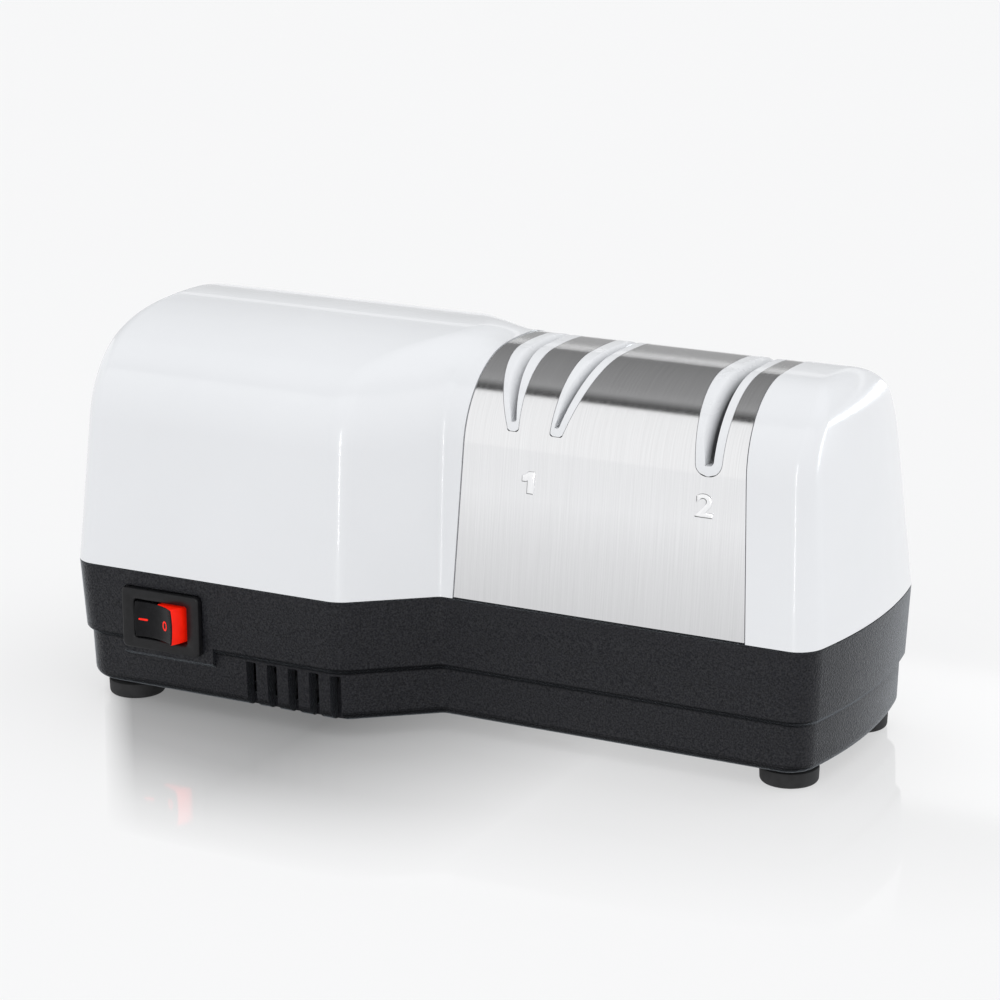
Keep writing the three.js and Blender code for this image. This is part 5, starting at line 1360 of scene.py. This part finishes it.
class SHARPENER_OT_small_parts(bpy.types.Operator):
    """Feet, cord gland and housing screws as turned pieces"""

    bl_idname = "sharpener.small_parts"
    bl_label = "Feet, gland and screws"

    def execute(self, context):
        colours = context.scene.sharpener_colours
        rubber = rubber_finish("foot rubber", colours.rubber)
        zinc = metal_finish("zinc plate", (0.62, 0.63, 0.64), 0.3)
        gland_black = satin_finish("gland black", colours.switch_black, 0.5, 0.4)
        for node in sorted(frame["nodes"]):
            low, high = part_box(node)
            if node.startswith("foot_"):
                seat(self.foot(node, (high.x - low.x) / 2), "body", "foot_rubber", rubber, node)
            elif node.startswith("housing_screw_"):
                seat(self.screw(node, low, high), "body", "screw_zinc", zinc, node)
        seat(self.gland(), "body", "gland_black", gland_black, "cord_gland")
        return {"FINISHED"}

    def foot(self, node, radius):
        """A foot with a rounded tread and a barbed stem, from the table up."""
        profile = [(0, 0), (0, radius - 1.5 * MM)]
        for turn in np.linspace(0, np.pi / 2, 7):
            profile.append((1.0 * MM * (1 - math.cos(turn)), radius - 1.0 * MM + 0.9 * MM * math.sin(turn)))
        profile += [(3.4 * MM, radius), (3.75 * MM, radius - 0.12 * MM), (3.9 * MM, radius - 0.4 * MM)]
        profile += [(3.9 * MM, 2.2 * MM), (7.1 * MM, 2.2 * MM), (7.1 * MM, 3.1 * MM), (8.7 * MM, 2.2 * MM)]
        profile += [(8.7 * MM, 0)]
        return lathe(node + "_tread", profile, node, "Z", 72)

    def screw(self, node, low, high):
        """A housing screw with a domed head and a cross cut into it."""
        head, thread = 3.25 * MM, 1.5 * MM
        profile = [(low.z, 0), (low.z, head * 0.72)]
        for turn in np.linspace(0, np.pi / 2, 6)[1:]:
            profile.append((low.z + 0.9 * MM * (1 - math.cos(turn)), head * (0.72 + 0.28 * math.sin(turn))))
        profile += [(low.z + 2.2 * MM, head), (low.z + 2.2 * MM, thread), (high.z - 1.5 * MM, thread), (high.z, 0)]
        piece = lathe(node + "_cross_head", profile, node, "Z", 48)
        middle_x, middle_y = (low.x + high.x) / 2, (low.y + high.y) / 2
        arms = []
        for half_x, half_y in ((2.3 * MM, 0.5 * MM), (0.5 * MM, 2.3 * MM)):
            across, up = around(middle_x, half_x), around(middle_y, half_y)
            arms.append(box_prism("arm", across, up, 0.3 * MM, "Z", low.z - 1 * MM, low.z + 1.1 * MM, 3))
        carve(piece, arms)
        shade(piece, 35)
        return piece

    def gland(self):
        """The gland as one ring: a tapered bush, a flange with a rounded edge, and a mouth that opens outwards."""
        low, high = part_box("cord_gland")
        flange, mouth, bush = (high.x - low.x) / 2, high.y, 3.8 * MM
        turn = np.linspace(0, np.pi / 2, 6)
        profile = [(low.y, bush), (low.y, 5.0 * MM), (mouth - 1.6 * MM, 5.6 * MM), (mouth - 1.6 * MM, flange)]
        profile += [(mouth - 0.5 * MM * (1 - math.sin(a)), flange - 0.5 * MM * (1 - math.cos(a))) for a in turn]
        profile += [(mouth, 5.1 * MM)]
        profile += [(mouth - 1.2 * MM * (1 - math.cos(a)), 5.1 * MM - 1.3 * MM * math.sin(a)) for a in turn[1:]]
        return lathe("gland_bush", [*profile, (low.y, bush)], "cord_gland", "Y", 72)


# How far a blade presses a stage 1 disk in
DISK_PRESS = 1.2 * MM


def spring_half(name, side):
    """Half of the spring between the disks, a wire wound round the shaft from its middle to one end.

    Formula: the middle of the wire moves along the shaft in step with its turn about it. The circle of the wire is
    spanned there by the way out from the shaft and the way across the wire.
    """
    low, high = (np.array(corner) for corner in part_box("stage_1_spring"))
    centre, half = (low + high) / 2, (high - low) / 2
    wire, turns, rows, columns = 0.4 * MM, 5, 101, 12
    reach, mean = half[0] - wire, half[1] - wire
    share = np.linspace(0, side, rows)
    angle = np.pi * turns * (1 + share)
    outward = np.stack([0 * angle, np.cos(angle), np.sin(angle)], axis=-1)
    middle = centre + mean * outward + np.outer(reach * share, (1, 0, 0))
    pitch = reach / (np.pi * turns)
    heading = np.stack([0 * angle + pitch, -mean * np.sin(angle), mean * np.cos(angle)], axis=-1)
    across = np.cross(heading / np.linalg.norm(heading, axis=-1, keepdims=True), outward)
    round_wire = np.linspace(0, 2 * np.pi, columns, endpoint=False)[None, :, None]
    points = middle[:, None] + wire * (np.cos(round_wire) * outward[:, None] + np.sin(round_wire) * across[:, None])
    return tube(name, points), centre, 1 - DISK_PRESS / half[0]


class SHARPENER_OT_disk_spring(bpy.types.Operator):
    """Spring between the stage 1 disks, in two halves set on the rotor"""

    bl_idname = "sharpener.disk_spring"
    bl_label = "Disk spring"

    def execute(self, context):
        steel = metal_finish("spring steel", (0.45, 0.46, 0.48), 0.3)
        for name, side in (("left", -1), ("right", 1)):
            piece, centre, keep = spring_half(f"disk_spring_{name}_half", side)
            seat(piece, "rotor", "spring_steel", steel, "stage_1_spring")
            tuple(centre)
            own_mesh(piece)
        return {"FINISHED"}


class SHARPENER_OT_inner_finishes(bpy.types.Operator):
    """Finishes of the pieces that keep their solids: motor, drive line, stages, bracket, lid and magnet"""

    bl_idname = "sharpener.inner_finishes"
    bl_label = "Inner finishes"

    def execute(self, context):
        colours = context.scene.sharpener_colours
        finishes = {
            "lid_black": grained_finish("lid black", colours.base_black).material,
            "magnet_grey": metal_finish("magnet grey", (0.12, 0.12, 0.13), 0.5),
            "core_iron": sheets_finish("core sheets", (0.36, 0.37, 0.39)),
            "bobbin_white": satin_finish("bobbin white", (0.72, 0.68, 0.56), 0.5),
            "coil_copper": winding_finish("coil copper", (0.62, 0.26, 0.10)),
            "bracket_steel": brushed_finish("bracket steel", (0.56, 0.58, 0.6), (40, 2400, 40), 0.4).material,
            "bush_bronze": metal_finish("bush bronze", (0.5, 0.34, 0.16), 0.42),
            "shaft_steel": metal_finish("shaft steel", (0.66, 0.67, 0.69), 0.22),
            "rotor_aluminium": sheets_finish("rotor aluminium", (0.6, 0.61, 0.62)),
            "fan_grey": satin_finish("fan grey", (0.05, 0.055, 0.06), 0.5),
            "abrasive_coat": abrasive_finish("coarse grit", (0.3, 0.31, 0.32), 2600),
            "abrasive_fine": abrasive_finish("fine grit", (0.36, 0.34, 0.31), 4800),
            "frame_grey": satin_finish("frame grey", (0.09, 0.095, 0.1), 0.5),
        }
        slot_of = {part["node"]: part["material_slot"] for part in frame["record"]["subparts"]}
        for name, node in frame["nodes"].items():
            if not node.hide_render:
                dress(node, finishes[slot_of[name]])
        return {"FINISHED"}


class SHARPENER_OT_studio(bpy.types.Operator):
    """Pale floor, soft lamps, a pale world and the camera at the photograph's angle"""

    bl_idname = "sharpener.studio"
    bl_label = "Studio and camera"

    def execute(self, context):
        self.floor(context.scene.sharpener_colours.floor)
        self.world()
        self.lamps()
        self.camera(context.scene)
        return {"FINISHED"}

    def floor(self, value):
        """A pale table top that partly glows by itself, painted light that weakens the object's shadow, and whose
        gloss fades away from the object that it mirrors; where the gloss is strong its glow drops, painted shade.
        """
        reach = 6.0
        points = [(-reach, -reach, 0), (reach, -reach, 0), (reach, reach, 0), (-reach, reach, 0)]
        piece = mesh_piece("table_top", points, [[0, 1, 2, 3]])
        made = Finish("table top", Roughness=0.05, IOR=2.2, Emission_Strength=1.0)
        made.tinted(made.noise(made.place, 3.0, 2.0), value, 0.329, 0.332)
        away = made.fed("ShaderNodeVectorMath", made.stretched(0.55, 1, 1), operation="LENGTH").outputs["Value"]
        gloss = made.ramp(away, [(0.05, 1.0), (0.075, 0.85), (0.105, 0.2), (0.12, 0.0)])
        beside = made.fed("ShaderNodeVectorMath", made.place, operation="DOT_PRODUCT")
        beside.inputs[1].default_value = (0.82, 0.573, 0)
        for source, *limits in (
            (made.coordinate(made.place, "X"), -0.03, 0.04, 1.0, 0.1),
            (beside.outputs["Value"], -0.099, -0.092, 0.0, 1.0),
        ):
            values = dict(zip(("From_Min", "From_Max", "To_Min", "To_Max"), limits))
            share = made.fed("ShaderNodeMapRange", source, **values).outputs["Result"]
            product = made.fed("ShaderNodeMath", gloss, operation="MULTIPLY")
            made.link(share, product.inputs[1])
            gloss = product.outputs[0]
        made.drive("Specular IOR Level", gloss)
        # Painted shade: the glow drops from 0.655 to 0.2 of the floor colour where the gloss is strong, near the
        # object
        made.drive("Emission Color", made.ramp(gloss, [(0.0, toned(value, 0.655)), (1.0, toned(value, 0.2))]))
        dress(piece, made.material)
        piece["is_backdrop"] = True

    def world(self):
        """A cool ambient light, and a pale tone for what the camera, a mirror or a clear piece shows of it."""
        world = bpy.data.worlds.new("studio")
        bpy.context.scene.world = world
        world.use_nodes = True
        nodes, links = world.node_tree.nodes, world.node_tree.links
        nodes.clear()
        path = nodes.new("ShaderNodeLightPath")
        shown = path.outputs["Is Camera Ray"]
        for ray in ("Is Glossy Ray", "Is Transmission Ray"):
            either = nodes.new("ShaderNodeMath")
            either.operation = "MAXIMUM"
            links.new(shown, either.inputs[0])
            links.new(path.outputs[ray], either.inputs[1])
            shown = either.outputs[0]
        mix, output = nodes.new("ShaderNodeMixShader"), nodes.new("ShaderNodeOutputWorld")
        links.new(shown, mix.inputs["Fac"])
        for place, tone, strength in ((1, (0.98, 0.99, 1.0), 0.74), (2, (1, 1, 1), 1.0)):
            background = nodes.new("ShaderNodeBackground")
            background.inputs["Color"].default_value = (*tone, 1)
            background.inputs["Strength"].default_value = strength
            links.new(background.outputs[0], mix.inputs[place])
        links.new(mix.outputs[0], output.inputs["Surface"])

    def lamp(self, name, place, aim, width, height, power):
        """A soft rectangular lamp that faces a point."""
        light = bpy.data.lights.new(name, "AREA")
        light.shape = "RECTANGLE"
        light.size, light.size_y, light.energy = width, height, power
        lamp = placed(name, light)
        lamp.location = place
        lamp.rotation_euler = (Vector(aim) - Vector(place)).to_track_quat("-Z", "Y").to_euler()
        return lamp

    def sun(self, name, towards, strength, spread):
        """A wide soft lamp far away that only shades: it lights the whole table alike."""
        light = bpy.data.lights.new(name, "SUN")
        light.energy, light.angle = strength, math.radians(spread)
        lamp = placed(name, light)
        lamp.rotation_euler = Vector(towards).to_track_quat("Z", "Y").to_euler()
        lamp.visible_glossy = False

    def lamps(self):
        """Soft lamps that only shade, one upright strip that also glints, and the cards that the metal mirrors."""
        self.sun("side light", (0.72, 0.5, 0.5), 0.46, 60)
        self.sun("top light", (0.0, 0.1, 1.0), 0.98, 80)
        self.sun("front light", (-0.4, -0.8, 0.45), 0.14, 80)
        self.lamp("strip", (0.17, -0.98, 0.25), (-0.02, -0.05, 0.25), 0.05, 0.5, 0.9)
        glint = self.lamp("end glint", (1.2, 1.3, 0.14), (0.1, 0, 0.06), 2.4, 0.26, 13)
        glint.data.color = (0.88, 0.94, 1.0)
        glint.visible_diffuse = False
        self.card(
            "overhead_card", 66, 158.7, [(0, 0.04), (0.065, 0.075), (0.11, 0.2), (0.17, 0.36), (0.3, 0.31), (1, 0.21)]
        )
        self.card("low_card", 162, 180, [(0, 0.36), (1, 0.45)])

    def card(self, name, start, end, tones):
        """A strip of a wide drum about X, between two angles up from the front horizon, seen only in mirrors.
        Its tone runs along the angle."""
        radius, reach, rows = 2.6, 3.5, 25
        turn = np.radians(np.linspace(start, end, rows))
        y, z = -radius * np.cos(turn), 0.06 + radius * np.sin(turn)
        points = np.concatenate([np.stack([np.full(rows, x), y, z], -1) for x in (-reach, reach)])
        near = np.arange(rows - 1)
        piece = mesh_piece(name, points, np.stack([near, near + 1, near + rows + 1, near + rows], -1))
        mark(piece, "along", "POINT", np.tile(np.linspace(0, 1, rows), 2))
        self.glow(piece, tones)

    def glow(self, piece, tones):
        """A card that shines by itself, toned along its own share, and is seen only in mirrors."""
        brightest = max(tone for _, tone in tones)
        made = Finish(
            piece.name, Roughness=1.0, Base_Color=(0, 0, 0), Specular_IOR_Level=0.0, Emission_Strength=brightest
        )
        tone = made.ramp(made.own("along"), [(place, value / brightest) for place, value in tones])
        made.drive("Emission Color", tone)
        dress(piece, made.material)
        piece.visible_diffuse = piece.visible_shadow = piece.visible_camera = piece.visible_transmission = False
        piece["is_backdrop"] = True

    def camera(self, scene):
        """The camera's place, turn and lens as fitted to the photograph."""
        lens = bpy.data.cameras.new("camera")
        lens.lens, lens.sensor_width = 121.683, 36.0
        lens.clip_start, lens.clip_end = 0.01, 50
        camera = placed("camera", lens)
        right = Vector((0.88217, 0.47090, -0.00453))
        forward = Vector((-0.45375, 0.84739, -0.27575))
        up = right.cross(forward).normalized()
        right = forward.cross(up).normalized()
        eye = Vector((378.806 * MM, -709.432 * MM + MIDDLE_Y, 282.056 * MM))
        turn = Matrix((right, up, -forward.normalized())).transposed().to_4x4()
        camera.matrix_world = Matrix.Translation(eye) @ turn
        scene.camera = camera
        scene.view_settings.view_transform = "Standard"


class SHARPENER_PT_panel(bpy.types.Panel):
    """Sizes, colours and steps of the sharpener"""

    bl_idname = "SHARPENER_PT_panel"
    bl_label = "Knife sharpener"
    bl_space_type = "VIEW_3D"
    bl_region_type = "UI"
    bl_category = "Sharpener"

    def draw(self, context):
        for group_name in GROUPS:
            group = getattr(context.scene, group_name)
            box = self.layout.box()
            for key in group.__annotations__:
                box.prop(group, key)
        for operator in STEPS:
            self.layout.operator(operator.bl_idname)


STEPS = (
    SHARPENER_OT_housing,
    SHARPENER_OT_base,
    SHARPENER_OT_cover_plate,
    SHARPENER_OT_guides,
    SHARPENER_OT_switch,
    SHARPENER_OT_small_parts,
    SHARPENER_OT_disk_spring,
    SHARPENER_OT_inner_finishes,
    SHARPENER_OT_studio,
)


def register():
    for cls in (*GROUPS.values(), *STEPS, SHARPENER_PT_panel):
        bpy.utils.register_class(cls)
    for name, group in GROUPS.items():
        setattr(bpy.types.Scene, name, bpy.props.PointerProperty(type=group))


def unregister():
    for name in GROUPS:
        delattr(bpy.types.Scene, name)
    for cls in reversed((*GROUPS.values(), *STEPS, SHARPENER_PT_panel)):
        bpy.utils.unregister_class(cls)


def main():
    register()
    for operator in STEPS:
        group, _, call = operator.bl_idname.partition(".")
        getattr(getattr(bpy.ops, group), call)()
    low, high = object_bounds()
    {"cad": [list(cad_low), list(cad_high)], "visual": [list(low), list(high)]}


if __name__ == "__main__":
    main()
